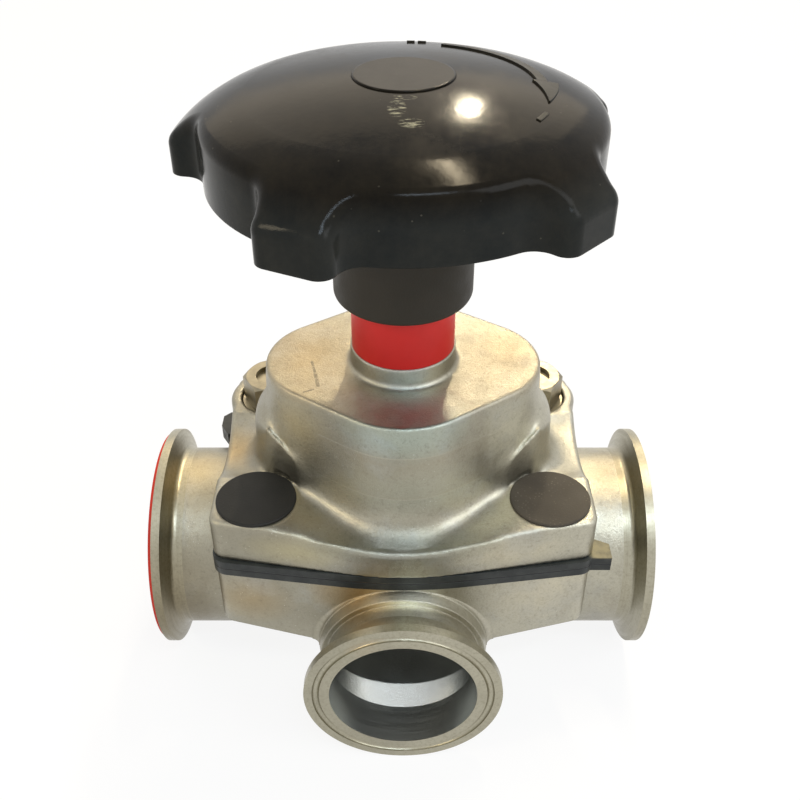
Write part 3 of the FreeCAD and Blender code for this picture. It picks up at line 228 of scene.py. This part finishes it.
def off_the_welds(finish, radius):
    """An edge radius that fades to none where the ferrules are welded on flush."""
    fade = 1 * MM
    run = finish.maths("ABSOLUTE", finish.axis("X"))
    return finish.both(
        finish.ramp(run, 1.0, 0.0, CASTING_END - fade, CASTING_END),
        finish.ramp(finish.axis("Y"), 0.0, 1.0, CASTING_FRONT, CASTING_FRONT + fade), radius)


def cast_steel(name, painted_patches, edge, welded=False):
    """Bead-blasted casting: fine grain and pits, slow drift of grey and beige, painted light that
    makes the right side lighter, painted glints, and patches of painted light and shade.
    """
    finish = Finish(name, Metallic=1.0)
    dark_base, light_base = (0.310, 0.288, 0.222), (0.385, 0.362, 0.286)
    painted_light_right, grey_cloud = (0.500, 0.478, 0.388), (0.380, 0.375, 0.335)
    pit, grain = (0.170, 0.155, 0.120), (0.240, 0.220, 0.170)
    stain, painted_glint_colour = (0.220, 0.190, 0.140), (0.700, 0.680, 0.600)
    base = finish.mix(finish.ramp(finish.noise(26, 3), 0, 1, 0.38, 0.64), dark_base, light_base)
    # Painted light: the colour grows lighter towards +X, where the right side catches more light
    base = finish.mix(finish.ramp(finish.axis("X"), 0.0, 0.8, -0.010, 0.050), base, painted_light_right)
    base = finish.mix(finish.ramp(finish.noise(55, 4, 0.6), 0, 0.6, 0.50, 0.66), base, grey_cloud)
    pits = finish.noise(520, 6, 0.8)
    base = finish.mix(finish.ramp(pits, 0.45, 0.0, 0.32, 0.46), base, pit)
    base = finish.mix(finish.ramp(finish.noise(1300, 3, 0.8), 0.0, 0.28, 0.46, 0.64), base, grain)
    stains = finish.noise(90, 6, 0.7, finish.stretched((1.0, 1.0, 0.45)))
    base = finish.mix(finish.ramp(stains, 0.0, 0.34, 0.54, 0.74), base, stain)
    # Painted glints: small bright specks painted into the colour
    painted_glints = finish.both(finish.specks(700, 0.10),
                         finish.ramp(finish.noise(70, 3), 0, 1, 0.5, 0.6))
    finish.colour(finish.mix(finish.both(painted_glints, 0.6), base, painted_glint_colour))
    # Patches of painted light and shade
    finish.add_painted_light(painted_patches)
    finish.roughness(finish.ramp(finish.noise(160, 5), 0.31, 0.44, 0.3, 0.7))
    relief = finish.maths("ADD", finish.both(finish.noise(1500, 4, 0.7), 0.6),
                          finish.both(pits, 0.9))
    finish.bump(relief, 0.24 * MM, 0.55, off_the_welds(finish, edge) if welded else edge)
    return finish


def tube_steel(name, axis):
    """Satin tube: fine lines round its axis, with slow beige and grey drift."""
    finish = Finish(name, Metallic=1.0)
    dark_base, light_base = (0.365, 0.342, 0.258), (0.440, 0.415, 0.322)
    line, grain = (0.25, 0.23, 0.18), (0.26, 0.24, 0.175)
    along, across = 2600, 60
    scale = (along, across, across) if axis == "X" else (across, along, across)
    lines = finish.noise(1.0, 3, 0.6, finish.stretched(scale))
    base = finish.mix(finish.ramp(finish.noise(22, 3), 0, 1, 0.35, 0.65), dark_base, light_base)
    base = finish.mix(finish.ramp(lines, 0.0, 0.30, 0.45, 0.75), base, line)
    finish.colour(finish.mix(
        finish.ramp(finish.noise(900, 4, 0.75), 0.0, 0.5, 0.46, 0.64), base, grain))
    finish.roughness(finish.ramp(lines, 0.30, 0.42, 0.3, 0.7))
    finish.bump(lines, 0.03 * MM, 0.35, 0.0)
    return finish


def machined_steel(name, base, smooth, rough):
    """Bright turned metal with fine marks, from its smoothest to its roughest."""
    finish = Finish(name, Metallic=1.0)
    marks = finish.noise(900, 4, 0.65)
    darker = tuple(0.72 * part for part in base)
    finish.colour(finish.mix(finish.ramp(finish.noise(200, 3), 0, 1, 0.35, 0.65), base, darker))
    finish.roughness(finish.ramp(marks, smooth, rough, 0.3, 0.7))
    finish.bump(marks, 0.05 * MM, 0.4)
    return finish


def plastic(name, base, worn, smooth, rough, grain, depth, specular=0.2, edge=0.4 * MM):
    """Moulded plastic or rubber with a faint drift of tone and a fine skin."""
    finish = Finish(name, Specular_IOR_Level=specular)
    finish.colour(finish.mix(finish.ramp(finish.noise(60, 5), 0, 1, 0.35, 0.7), base, worn))
    finish.roughness(finish.ramp(finish.noise(240, 4, 0.6), smooth, rough, 0.3, 0.7))
    finish.bump(finish.noise(grain, 3), depth, 0.5, edge)
    return finish


def pressed_rubber():
    """The diaphragm's clamped edge: two layers, a fine line between them, a worn right tab."""
    finish = Finish("clamped_rim", Specular_IOR_Level=0.3)
    black, grey = (0.015, 0.018, 0.018), (0.042, 0.046, 0.044)
    gap, olive = (0.004, 0.004, 0.004), (0.235, 0.205, 0.115)
    tab, tab_radii = (0.0655, -0.0355, RIM_HIGH), (0.0068, 0.0068, 0.004)
    line_low, line_high = RIM_LOW + 2.6 * MM, RIM_LOW + 3.0 * MM
    height = finish.axis("Z")
    line = finish.between(height, line_low, line_high, 0.1 * MM)
    base = finish.mix(finish.ramp(finish.noise(160, 5), 0, 1, 0.4, 0.75), black, grey)
    wear = finish.both(finish.near(tab, tab_radii, 0.25),
                       finish.ramp(height, 0, 1, RIM_HIGH - 0.5 * MM, RIM_HIGH - 0.1 * MM),
                       finish.ramp(finish.noise(300, 4), 0.6, 1.0, 0.35, 0.6))
    finish.colour(finish.mix(line, finish.mix(wear, base, olive), gap))
    finish.roughness(finish.ramp(finish.noise(300, 4), 0.28, 0.46, 0.3, 0.7))
    relief = finish.maths("SUBTRACT", finish.both(finish.noise(700, 4), 0.15), line)
    finish.bump(relief, 0.4 * MM, 0.7)
    return finish


# Scribbled scratches in front of the medallion: centre and radii of each patch
SCUFFS = [((0.0002, -0.0165, 0.2089), (0.0034, 0.0018, 0.003)),
          ((-0.0018, -0.0225, 0.2083), (0.0026, 0.0052, 0.003)),
          ((0.0018, -0.0300, 0.2072), (0.0036, 0.0026, 0.003))]


def wheel_gloss():
    """Black moulding with painted light: a brown warm reflection on the crown and a lighter
    blue-black sheen on the wall, with smears, dust, scratches and a line above its hem."""
    finish = Finish("wheel_gloss", Specular_IOR_Level=0.07)
    wall_sheen_clean, wall_sheen_smeared = (0.013, 0.015, 0.015), (0.026, 0.026, 0.023)
    crown_reflection_clean, crown_reflection_smeared = (0.0050, 0.0042, 0.0030), (0.0150, 0.0120, 0.0075)
    dust_colour, scratch_colour = (0.16, 0.15, 0.12), (0.33, 0.32, 0.23)
    wall_top, crown_edge = WHEEL_LOW + 15 * MM, WHEEL_LOW + 22 * MM
    hem_low, hem_high = WHEEL_LOW + 2.3 * MM, WHEEL_LOW + 2.7 * MM
    height = finish.axis("Z")
    smear = finish.noise(70, 7, 0.72, finish.stretched((1.0, 0.6, 1.0)))
    dust = finish.both(finish.specks(260, 0.07),
                       finish.ramp(finish.noise(30, 3), 0, 1, 0.50, 0.58))
    scratches = finish.noise(1.0, 5, 0.7, finish.stretched((260.0, 1100.0, 260.0), -38))
    scuff = finish.both(
        finish.most(*(finish.near(centre, radii, 0.35) for centre, radii in SCUFFS)),
        finish.ramp(scratches, 0.0, 1.0, 0.50, 0.58))
    smeared = finish.ramp(smear, 0, 1, 0.35, 0.75)
    # Painted light by height: a lighter blue-black painted sheen on the wall, a brown painted warm
    # reflection on the crown
    base = finish.mix(finish.ramp(height, 0, 1, wall_top, crown_edge),
                      finish.mix(smeared, wall_sheen_clean, wall_sheen_smeared),
                      finish.mix(smeared, crown_reflection_clean, crown_reflection_smeared))
    base = finish.mix(finish.both(dust, 0.25), base, dust_colour)
    finish.colour(finish.mix(finish.both(scuff, 0.8), base, scratch_colour))
    finish.roughness(finish.most(finish.ramp(smear, 0.07, 0.22, 0.34, 0.66),
                                 finish.both(scuff, 0.6)))
    hem = finish.between(height, hem_low, hem_high, 0.15 * MM)
    skin = finish.maths("ADD", finish.both(finish.noise(420, 5, 0.65), 0.30),
                        finish.both(finish.noise(2600, 3), 0.05))
    finish.bump(finish.maths("SUBTRACT", skin, finish.both(hem, 0.5)), 0.28 * MM, 0.35, 0.6 * MM)
    return finish


def brighten_bore(finish):
    """The outlet's bore is coloured lighter and greyer than the skin outside."""
    bore_grey = (0.50, 0.51, 0.49)
    blend, back_blend = 0.2 * MM, 4 * MM
    radius, back = OUTLET_BORE + 0.1 * MM, 10 * MM
    across = finish.vector("SUBTRACT", finish.place, (0.0, 0.0, OUTLET_AXIS))
    across = finish.vector("MULTIPLY", across, (1.0, 0.0, 1.0))
    inside = finish.both(
        finish.ramp(finish.vector("LENGTH", across), 1.0, 0.0, radius, radius + blend),
        finish.ramp(finish.axis("Y"), 0.0, 1.0, OUTLET_FACE, OUTLET_FACE + blend),
        finish.ramp(finish.axis("Y"), 1.0, 0.0, back, back + back_blend))
    finish.lay_over(finish.both(inside, 0.9), bore_grey)


def paint_shade_below_tube(finish):
    """Painted shade: the run's tube grows darker towards its underside, out from the casting's
    edge.
    """
    painted_shade_colour = (0.165, 0.145, 0.105)
    shade_full_height, shade_end_height = 0.006, 0.055
    low = finish.ramp(finish.axis("Z"), 0.55, 0.0, shade_full_height, shade_end_height)
    out = finish.ramp(finish.maths("ABSOLUTE", finish.axis("X")), 0, 1,
                      CASTING_END, CASTING_END + 0.4 * MM)
    finish.lay_over(finish.both(low, out), painted_shade_colour)


def add_painted_warm_reflection(finish):
    """A painted warm reflection on the outlet's tube, at the left of its top."""
    centre, radii, painted_warm_reflection = (-0.012, -0.060, 0.056), (0.011, 0.009, 0.012), (0.50, 0.36, 0.20)
    finish.lay_over(finish.both(finish.near(centre, radii, 1.0), 0.8), painted_warm_reflection)


def film_area(finish, inset):
    """1 on a rectangle on the front of the bonnet's dome, less an inset all round."""
    left, right, low, high, front = -0.0300, 0.0325, 0.0905, 0.1065, -0.0260
    blend = 0.1 * MM
    return finish.both(
        finish.between(finish.axis("X"), left + inset, right - inset, blend),
        finish.between(finish.axis("Z"), low + inset, high - inset, blend),
        finish.ramp(finish.axis("Y"), 1, 0, front, front + 0.5 * MM))


def add_clear_film(finish):
    """A bare clear film on the dome, with a faint pale border."""
    film_tint, border_tint = (0.34, 0.30, 0.22), (0.45, 0.42, 0.34)
    film, middle = film_area(finish, 0.0), film_area(finish, 0.4 * MM)
    finish.lay_over(finish.both(film, 0.25), film_tint)
    border = finish.maths("SUBTRACT", film, middle, clamp=True)
    finish.lay_over(finish.both(border, 0.5), border_tint)


def add_dome_marks(finish):
    """Three short dark strokes, worn on the left of the dome's top."""
    mark_colour = (0.15, 0.13, 0.095)
    marks = finish.most(
        finish.stroke((-0.0294, -0.0021, DOME_TOP), (-0.0276, -0.0095, DOME_TOP), 1.2 * MM),
        finish.stroke((-0.0279, -0.0085, DOME_TOP), (-0.0265, -0.0153, DOME_TOP), 1.5 * MM),
        finish.stroke((-0.0307, -0.0185, DOME_TOP), (-0.0280, -0.0172, DOME_TOP), 1.0 * MM))
    wear = finish.ramp(finish.noise(600, 3), 0.3, 0.8, 0.30, 0.6)
    finish.lay_over(finish.both(marks, wear), mark_colour)


def add_pale_specks(finish):
    """Scattered grains of dust."""
    grains = finish.both(finish.specks(900, 0.22),
                         finish.ramp(finish.noise(120, 3), 0.0, 0.6, 0.42, 0.62))
    finish.lay_over(grains, (0.15, 0.13, 0.10))


# Painted light and shade, with warm painted reflections, where the metal's colour is lightened or
# darkened: centre, radii and ratio of each
TUBE_PAINTED_LIGHT = [
    ((-0.080, -0.034, 0.036), (0.020, 0.026, 0.036), (0.66, 0.60, 0.50)),  # left, front
    ((-0.073, -0.004, 0.072), (0.015, 0.022, 0.012), (1.35, 1.20, 0.95)),  # left, top
    ((0.072, -0.002, 0.072), (0.016, 0.024, 0.012), (0.74, 0.69, 0.62)),  # right, top
]
BODY_PAINTED_LIGHT = TUBE_PAINTED_LIGHT + [
    ((-0.016, -0.047, 0.058), (0.016, 0.016, 0.014), (1.25, 1.00, 0.70)),  # left of the outlet
    ((-0.050, -0.040, 0.050), (0.016, 0.016, 0.012), (1.15, 1.00, 0.80)),  # left corner
    ((0.000, -0.053, 0.060), (0.022, 0.008, 0.007), (2.10, 2.20, 2.30)),  # above the outlet
    ((0.046, -0.042, 0.056), (0.022, 0.014, 0.018), (1.18, 1.15, 1.10)),  # right corner
]
BONNET_PAINTED_LIGHT = [
    ((-0.031, 0.000, DOME_TOP), (0.022, 0.034, 0.004), (1.05, 0.90, 0.70)),  # top, left
    ((0.034, 0.004, DOME_TOP), (0.026, 0.036, 0.004), (0.84, 0.75, 0.64)),  # top, right
    ((0.000, -0.030, 0.1140), (0.022, 0.018, 0.012), (1.06, 1.34, 1.50)),  # top, front edge
    ((0.031, -0.022, 0.1000), (0.014, 0.016, 0.018), (1.30, 1.30, 1.24)),  # dome, right
    ((-0.0575, 0.002, 0.078), (0.010, 0.014, 0.014), (1.15, 0.95, 0.70)),  # flange, left end
    ((0.000, -0.045, 0.0780), (0.034, 0.009, 0.007), (0.60, 0.64, 0.64)),  # dome, foot
    ((0.000, -0.020, 0.1250), (0.022, 0.014, 0.012), (1.18, 1.24, 1.42)),  # front of the neck
    ((0.000, -0.037, 0.0940), (0.026, 0.014, 0.012), (1.12, 1.20, 1.24)),  # dome, front
    ((-0.033, -0.0215, 0.1040), (0.016, 0.014, 0.016), (1.08, 0.96, 0.72)),  # dome, left
    ((-0.036, -0.046, 0.0740), (0.022, 0.008, 0.008), (1.22, 1.17, 0.95)),  # flange, left front
    ((0.036, -0.046, 0.0740), (0.024, 0.008, 0.008), (1.20, 1.16, 1.08)),  # flange, right front
]

# The body and the bonnet carry patches of painted light and shade
body = cast_steel("cast_body", BODY_PAINTED_LIGHT, 0.6 * MM, welded=True)
brighten_bore(body)
# Painted shade below the run's tube
paint_shade_below_tube(body)

bonnet = cast_steel("cast_bonnet", BONNET_PAINTED_LIGHT, 0.8 * MM)
add_clear_film(bonnet)
add_dome_marks(bonnet)

run_tube = tube_steel("run_tube", "X")
# Painted light and shade on the run's tube
run_tube.add_painted_light(TUBE_PAINTED_LIGHT)
# Painted shade below the run's tube
paint_shade_below_tube(run_tube)

outlet_tube = tube_steel("outlet_tube", "Y")
brighten_bore(outlet_tube)
# Painted warm reflection on the outlet's tube
add_painted_warm_reflection(outlet_tube)

fastener = machined_steel("fastener", (0.34, 0.30, 0.21), 0.28, 0.40)
ground = machined_steel("ground_spindle", (0.45, 0.45, 0.43), 0.16, 0.26)
brass = machined_steel("turned_brass", (0.62, 0.44, 0.18), 0.24, 0.36)

collar_black = plastic("collar_black", (0.026, 0.023, 0.017), (0.036, 0.031, 0.024),
                       0.46, 0.60, 1600, 0.08 * MM)
cap_black = plastic("cap_black", (0.013, 0.013, 0.012), (0.021, 0.020, 0.017),
                    0.42, 0.54, 1400, 0.10 * MM)
cap_dusty = plastic("cap_dusty", (0.050, 0.043, 0.034), (0.085, 0.073, 0.056),
                    0.54, 0.70, 1500, 0.16 * MM)
add_pale_specks(cap_dusty)
sleeve_red = plastic("sleeve_red", (0.62, 0.012, 0.010), (0.53, 0.014, 0.012),
                     0.34, 0.46, 500, 0.04 * MM, 0.3)
seal_red = plastic("seal_red", (0.60, 0.040, 0.022), (0.50, 0.030, 0.020),
                   0.42, 0.55, 700, 0.06 * MM)
web_black = plastic("web_black", (0.020, 0.020, 0.021), (0.030, 0.030, 0.030),
                    0.42, 0.56, 900, 0.08 * MM)
rim = pressed_rubber()
wheel = wheel_gloss()
raised = plastic("raised_black", (0.012, 0.011, 0.008), (0.030, 0.027, 0.020),
                 0.34, 0.46, 900, 0.06 * MM, 0.12, 0.2 * MM)

NODE_FINISHES = {
    "body_casting": body, "bonnet": bonnet, "left_ferrule": run_tube, "right_ferrule": run_tube,
    "outlet_ferrule": outlet_tube, "left_clamp_seal": seal_red, "diaphragm_rim": rim,
    "diaphragm_web": web_black, "diaphragm_stud": fastener, "spindle_bush": brass,
    "spindle_seal": web_black, "indicator_sleeve": sleeve_red, "rear_washers": fastener,
    "rear_nuts": fastener, "rear_studs": fastener, "front_washers": fastener,
    "front_screws": fastener, "right_bolt_cap": cap_dusty, "left_bolt_cap": cap_black,
    "compressor": body, "compressor_pins": fastener, "thrust_washer": brass, "spindle": ground,
    "handwheel_collar": collar_black, "handwheel": wheel, "hub_insert": fastener,
    "hub_washer": fastener, "hub_nut": fastener, "handwheel_medallion": wheel,
}
for node_name, node_finish in NODE_FINISHES.items():
    node_mesh = NODES[node_name].data
    node_mesh.materials.clear()
    node_mesh.materials.append(node_finish.material)


# The bonnet with a foundry's wide fillets between its dome, wings and flange

FILLET_VOXEL = 0.5 * MM
FILLET_ROUNDS = 270
# Half width and half depth of the rounded rectangle, inside the flange's wall, that gives way
FILLET_REACH = (0.0590, 0.0460)
# Pairs say where the form stays as it is and where it gives way fully: as a share of that
# rectangle, from a bolt's axis, above the diaphragm, below the dome's top, and outwards
GIVE_WITHIN = (1.0, 0.8)
GIVE_FROM_BOLT = (14.2 * MM, 17.0 * MM)
GIVE_ABOVE_RIM = (5 * MM, 7 * MM)
GIVE_BELOW_TOP = (5 * MM, 12 * MM)
GIVE_FACING_OUT = (0.05, 0.25)


def ease(value, none, full):
    """0 at one level, 1 at the other, straight between them."""
    return np.clip((value - none) / (full - none), 0.0, 1.0)


def fillet_share(points, normals):
    """How far each point gives way: fully on the outer shoulders, and not at all on the
    flange's wall, the bolt bosses, the dome's top edge, and everything inside."""
    x, y, z = np.abs(points[:, 0]), np.abs(points[:, 1]), points[:, 2]
    within = (x / FILLET_REACH[0]) ** 4 + (y / FILLET_REACH[1]) ** 4
    from_bolt = np.hypot(x - BOLT_PLACE[0], y - BOLT_PLACE[1])
    from_axis = np.maximum(np.hypot(points[:, 0], points[:, 1]), 1e-6)
    outward = (normals[:, 0] * points[:, 0] + normals[:, 1] * points[:, 1]) / from_axis
    skin = np.maximum(outward, 0.0) + np.maximum(normals[:, 2], 0.0)
    return (ease(within, *GIVE_WITHIN) * ease(from_bolt, *GIVE_FROM_BOLT)
            * ease(z - RIM_HIGH, *GIVE_ABOVE_RIM) * ease(DOME_TOP - z, *GIVE_BELOW_TOP)
            * ease(skin, *GIVE_FACING_OUT))


def even_mesh(node, voxel):
    """A new mesh of a node's form, with faces of one size."""
    source = bpy.data.objects.new("even", NODES[node].data.copy())
    bpy.context.scene.collection.objects.link(source)
    even = source.modifiers.new("even", "REMESH")
    even.mode = "VOXEL"
    even.voxel_size = voxel
    shaped = source.evaluated_get(bpy.context.evaluated_depsgraph_get())
    mesh = bpy.data.meshes.new_from_object(shaped)
    bpy.data.objects.remove(source)
    return mesh


def mesh_values(items, name, width, kind=float):
    """One named value of all the vertices or edges of a mesh, a row for each."""
    values = np.empty(len(items) * width, dtype=kind)
    items.foreach_get(name, values)
    return values.reshape(-1, width)


def widen_fillets(mesh, rounds):
    """Averages the outer creases: in each round a point moves up to half way to the middle
    of its neighbours."""
    points = mesh_values(mesh.vertices, "co", 3)
    edges = mesh_values(mesh.edges, "vertices", 2, int)
    start, end = np.concatenate([edges, edges[:, ::-1]]).T
    count = len(points)
    neighbours = np.bincount(start, minlength=count)[:, None]
    share = 0.5 * fillet_share(points, mesh_values(mesh.vertices, "normal", 3))[:, None]
    for _ in range(rounds):
        middle = np.stack([np.bincount(start, weights=points[end, axis], minlength=count)
                           for axis in range(3)], -1) / neighbours
        points += share * (middle - points)
    mesh.vertices.foreach_set("co", points.ravel())
    mesh.update()


def add_piece(name, mesh, finish, body_name, smooth=False):
    """A piece of the scene's own, which moves with one of the part's bodies."""
    mesh.materials.clear()
    mesh.materials.append(finish.material)
    mesh.polygons.foreach_set("use_smooth", [smooth] * len(mesh.polygons))
    piece = bpy.data.objects.new(name, mesh)
    bpy.context.scene.collection.objects.link(piece)
    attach(piece, body_name)
    return piece


def filleted_copy(name, node, finish):
    """A piece that stands for a casting's CAD node, with its outer creases averaged."""
    mesh = even_mesh(node, FILLET_VOXEL)
    widen_fillets(mesh, FILLET_ROUNDS)
    piece = add_piece(name, mesh, finish, "valve_body", smooth=True)
    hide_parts(node)


filleted_copy("bonnet_filleted", "bonnet", bonnet)


# Small raised details on the handwheel, drawn as closed meshes in the part's own frame

RIDGE_SINK = 0.4 * MM
RIDGE_CHAMFER = 0.25 * MM
LIP_RADIUS = 14.3 * MM
LIP_SECTION = 0.3 * MM
LIP_TURNS = 72
LIP_SIDES = 10
LIP_DROP = 0.05 * MM

# A ridge: angles in degrees, inner and outer radii, steps, height; pairs are (first, last)
RIDGES = {
    "turn_arrow_band": ((72, 5), (0.0362, 0.0362), (0.0397, 0.0397), 28, 1.0 * MM),
    "turn_arrow_head": ((5, -16.5), (0.0350, 0.0393), (0.0428, 0.0401), 10, 1.0 * MM),
    "turn_mark_front": ((-27.0, -34.5), (0.0400, 0.0402), (0.0418, 0.0420), 4, 0.8 * MM),
    "turn_mark_back_1": ((88.5, 85.2), (0.0402, 0.0402), (0.0420, 0.0420), 3, 1.0 * MM),
    "turn_mark_back_2": ((83.8, 80.4), (0.0402, 0.0402), (0.0420, 0.0420), 3, 1.0 * MM),
}


def crown_height(radius):
    """Height of the wheel's top surface at a distance from its axis."""
    if radius <= CROWN_REACH:
        return WHEEL_TOP - CROWN_RADIUS + math.sqrt(CROWN_RADIUS ** 2 - radius ** 2)
    level = math.sqrt(CROWN_RADIUS ** 2 - CROWN_REACH ** 2)
    share = (CROWN_RADIUS - SHOULDER_RADIUS) / CROWN_RADIUS
    centre = WHEEL_TOP - CROWN_RADIUS + level * share
    return centre + math.sqrt(SHOULDER_RADIUS ** 2 - (radius - CROWN_REACH * share) ** 2)


def new_mesh(name, points, faces):
    mesh = bpy.data.meshes.new(name)
    mesh.from_pydata(points, [], faces)
    mesh.update()
    return mesh


def part_way(ends, share):
    """The value at a share of the way from the first end to the last."""
    return ends[0] + (ends[1] - ends[0]) * share


def raised_ridge(name, degrees, inner_radii, outer_radii, steps, height):
    """A low ridge round the wheel's crown, chamfered at its sides and sunk in at its foot."""
    points = []
    for step in range(steps + 1):
        share = step / steps
        turn = math.radians(part_way(degrees, share))
        inner, outer = part_way(inner_radii, share), part_way(outer_radii, share)
        for radius, lift in ((inner, -RIDGE_SINK), (inner + RIDGE_CHAMFER, height),
                             (outer - RIDGE_CHAMFER, height), (outer, -RIDGE_SINK)):
            points.append((radius * math.cos(turn), radius * math.sin(turn),
                           crown_height(radius) + lift))
    faces = []
    for low in range(0, 4 * steps, 4):
        for side in range(4):
            following = (side + 1) % 4
            faces.append((low + side, low + following, low + 4 + following, low + 4 + side))
    last = 4 * steps
    faces.append((3, 2, 1, 0))
    faces.append((last, last + 1, last + 2, last + 3))
    add_piece(name, new_mesh(name, points, faces), raised, "wheel")


def raised_ring(name, level, radius, section, turns, sides):
    """A closed ring about the wheel's axis at a level; section is its round section's radius."""
    points, faces = [], []
    for turn in range(turns):
        angle = 2 * math.pi * turn / turns
        for side in range(sides):
            tilt = 2 * math.pi * side / sides
            out = radius + section * math.cos(tilt)
            points.append((out * math.cos(angle), out * math.sin(angle),
                           level + section * math.sin(tilt)))
            low, high = turn * sides, (turn + 1) % turns * sides
            following = (side + 1) % sides
            faces.append((low + side, low + following, high + following, high + side))
    add_piece(name, new_mesh(name, points, faces), wheel, "wheel", smooth=True)


for ridge_name, ridge in RIDGES.items():
    raised_ridge(ridge_name, *ridge)
# Lip round the medallion
raised_ring("medallion_lip", crown_height(LIP_RADIUS) - LIP_DROP, LIP_RADIUS, LIP_SECTION,
            LIP_TURNS, LIP_SIDES)


# Light, floor and camera

CAMERA_PLACE = (-0.0010, -0.2636, 0.2968)
CAMERA_DOWN = 36.69
CAMERA_LENS = 44.26
FLOOR_REACH = 30.0
FLOOR_DROP = 0.2 * MM
FLOOR_GLOW = 0.88
WORLD_FILL = 0.50
MIDDLE = (0, 0, 0.08)

# Points on the wheel that mirror a lamp to the camera: its shoulder's edge, crown and shoulder
EDGE_SPOT = Vector((0.0150, -0.0600, 0.1970))
CROWN_SPOT = Vector((0.0168, -0.0240, 0.2076))
SHOULDER_SPOT = Vector((0.0118, -0.0492, 0.2023))


def backdrop_world():
    """White where the background shows or is mirrored, and plain for the light it gives."""
    world = bpy.data.worlds.new("studio")
    bpy.context.scene.world = world
    world.use_nodes = True
    world.node_tree.nodes.clear()
    nodes = Nodes(world.node_tree)
    fill = nodes.add("ShaderNodeBackground", Color=(1.0, 0.985, 0.96), Strength=WORLD_FILL)
    white = nodes.add("ShaderNodeBackground", Color=(1.0, 1.0, 1.0), Strength=1.0)
    mixed = nodes.add("ShaderNodeMixShader", nodes.seen_directly(), fill.outputs[0],
                      white.outputs[0])
    nodes.add("ShaderNodeOutputWorld", Surface=mixed.outputs[0])


def pale_floor():
    """A wide floor: mostly white to the eye and in mirrors, so that the shadow stays faint."""
    reach = FLOOR_REACH
    mesh = new_mesh("floor", [(-reach, -reach, 0), (reach, -reach, 0), (reach, reach, 0),
                              (-reach, reach, 0)], [(0, 1, 2, 3)])
    floor = bpy.data.objects.new("floor", mesh)
    bpy.context.scene.collection.objects.link(floor)
    floor.location.z = -FLOOR_DROP
    material = bpy.data.materials.new("pale_floor")
    material.use_nodes = True
    material.node_tree.nodes.clear()
    nodes = Nodes(material.node_tree)
    speckle = nodes.add("ShaderNodeTexNoise", Scale=6.0)
    grey = nodes.add("ShaderNodeMapRange", Value=speckle.outputs["Fac"], To_Min=0.90, To_Max=0.95)
    diffuse = nodes.add("ShaderNodeBsdfDiffuse", Color=grey.outputs["Result"])
    glow = nodes.add("ShaderNodeEmission")
    mixed = nodes.add("ShaderNodeMixShader", nodes.both(nodes.seen_directly(), FLOOR_GLOW),
                      diffuse.outputs[0], glow.outputs[0])
    nodes.add("ShaderNodeOutputMaterial", Surface=mixed.outputs[0])
    mesh.materials.append(material)


def lamp(name, place, target, size, power, colour, roll=0.0):
    """A rectangular soft light that faces a point, rolled about that line by some degrees."""
    light = bpy.data.lights.new(name, "AREA")
    light.shape = "RECTANGLE"
    light.size, light.size_y = size
    light.energy = power
    light.color = colour
    holder = bpy.data.objects.new(name, light)
    bpy.context.scene.collection.objects.link(holder)
    holder.location = place
    facing = (Vector(target) - Vector(place)).to_track_quat("-Z", "Y")
    facing = facing @ Quaternion((0.0, 0.0, 1.0), math.radians(roll))
    holder.rotation_euler = facing.to_euler()


backdrop_world()
pale_floor()
lamp("window", (0.85, -0.45, 0.90), MIDDLE, (0.6, 0.6), 4.5, (0.95, 0.98, 1.0))
lamp("left", (-0.90, -0.40, 0.80), MIDDLE, (0.22, 0.30), 2.6, (1.0, 0.86, 0.60))
# A narrow cool lamp in front, mirrored in the wheel's rounded edge
lamp("front", EDGE_SPOT + 1.1 * Vector((0.146, -0.535, 0.833)), EDGE_SPOT, (0.42, 0.09), 3.6,
     (0.72, 0.86, 1.0))
# A wide warm lamp behind, mirrored in the faces that look up
lamp("warm_wall", (-0.10, 1.35, 0.95), (0, 0, 0.10), (1.8, 0.7), 4.0, (1.0, 0.80, 0.52))
# Two warm ceiling lamps, mirrored in the wheel's crown
lamp("ceiling_far", CROWN_SPOT + 1.3 * Vector((0.138, 0.845, 0.517)), CROWN_SPOT,
     (0.05, 0.13), 3.0, (1.0, 0.86, 0.62))
lamp("ceiling_near", SHOULDER_SPOT + 1.3 * Vector((0.182, 0.383, 0.906)), SHOULDER_SPOT,
     (0.06, 0.62), 9.0, (1.0, 0.84, 0.58), 43.0)

camera_data = bpy.data.cameras.new("camera")
camera_data.lens = CAMERA_LENS
camera_data.sensor_width = 36.0
camera_data.clip_start = 0.01
camera = bpy.data.objects.new("camera", camera_data)
camera.location = CAMERA_PLACE
camera.rotation_euler = (math.radians(90 - CAMERA_DOWN), 0.0, 0.0)
bpy.context.scene.collection.objects.link(camera)
bpy.context.scene.camera = camera
bpy.context.scene.view_settings.view_transform = "Standard"
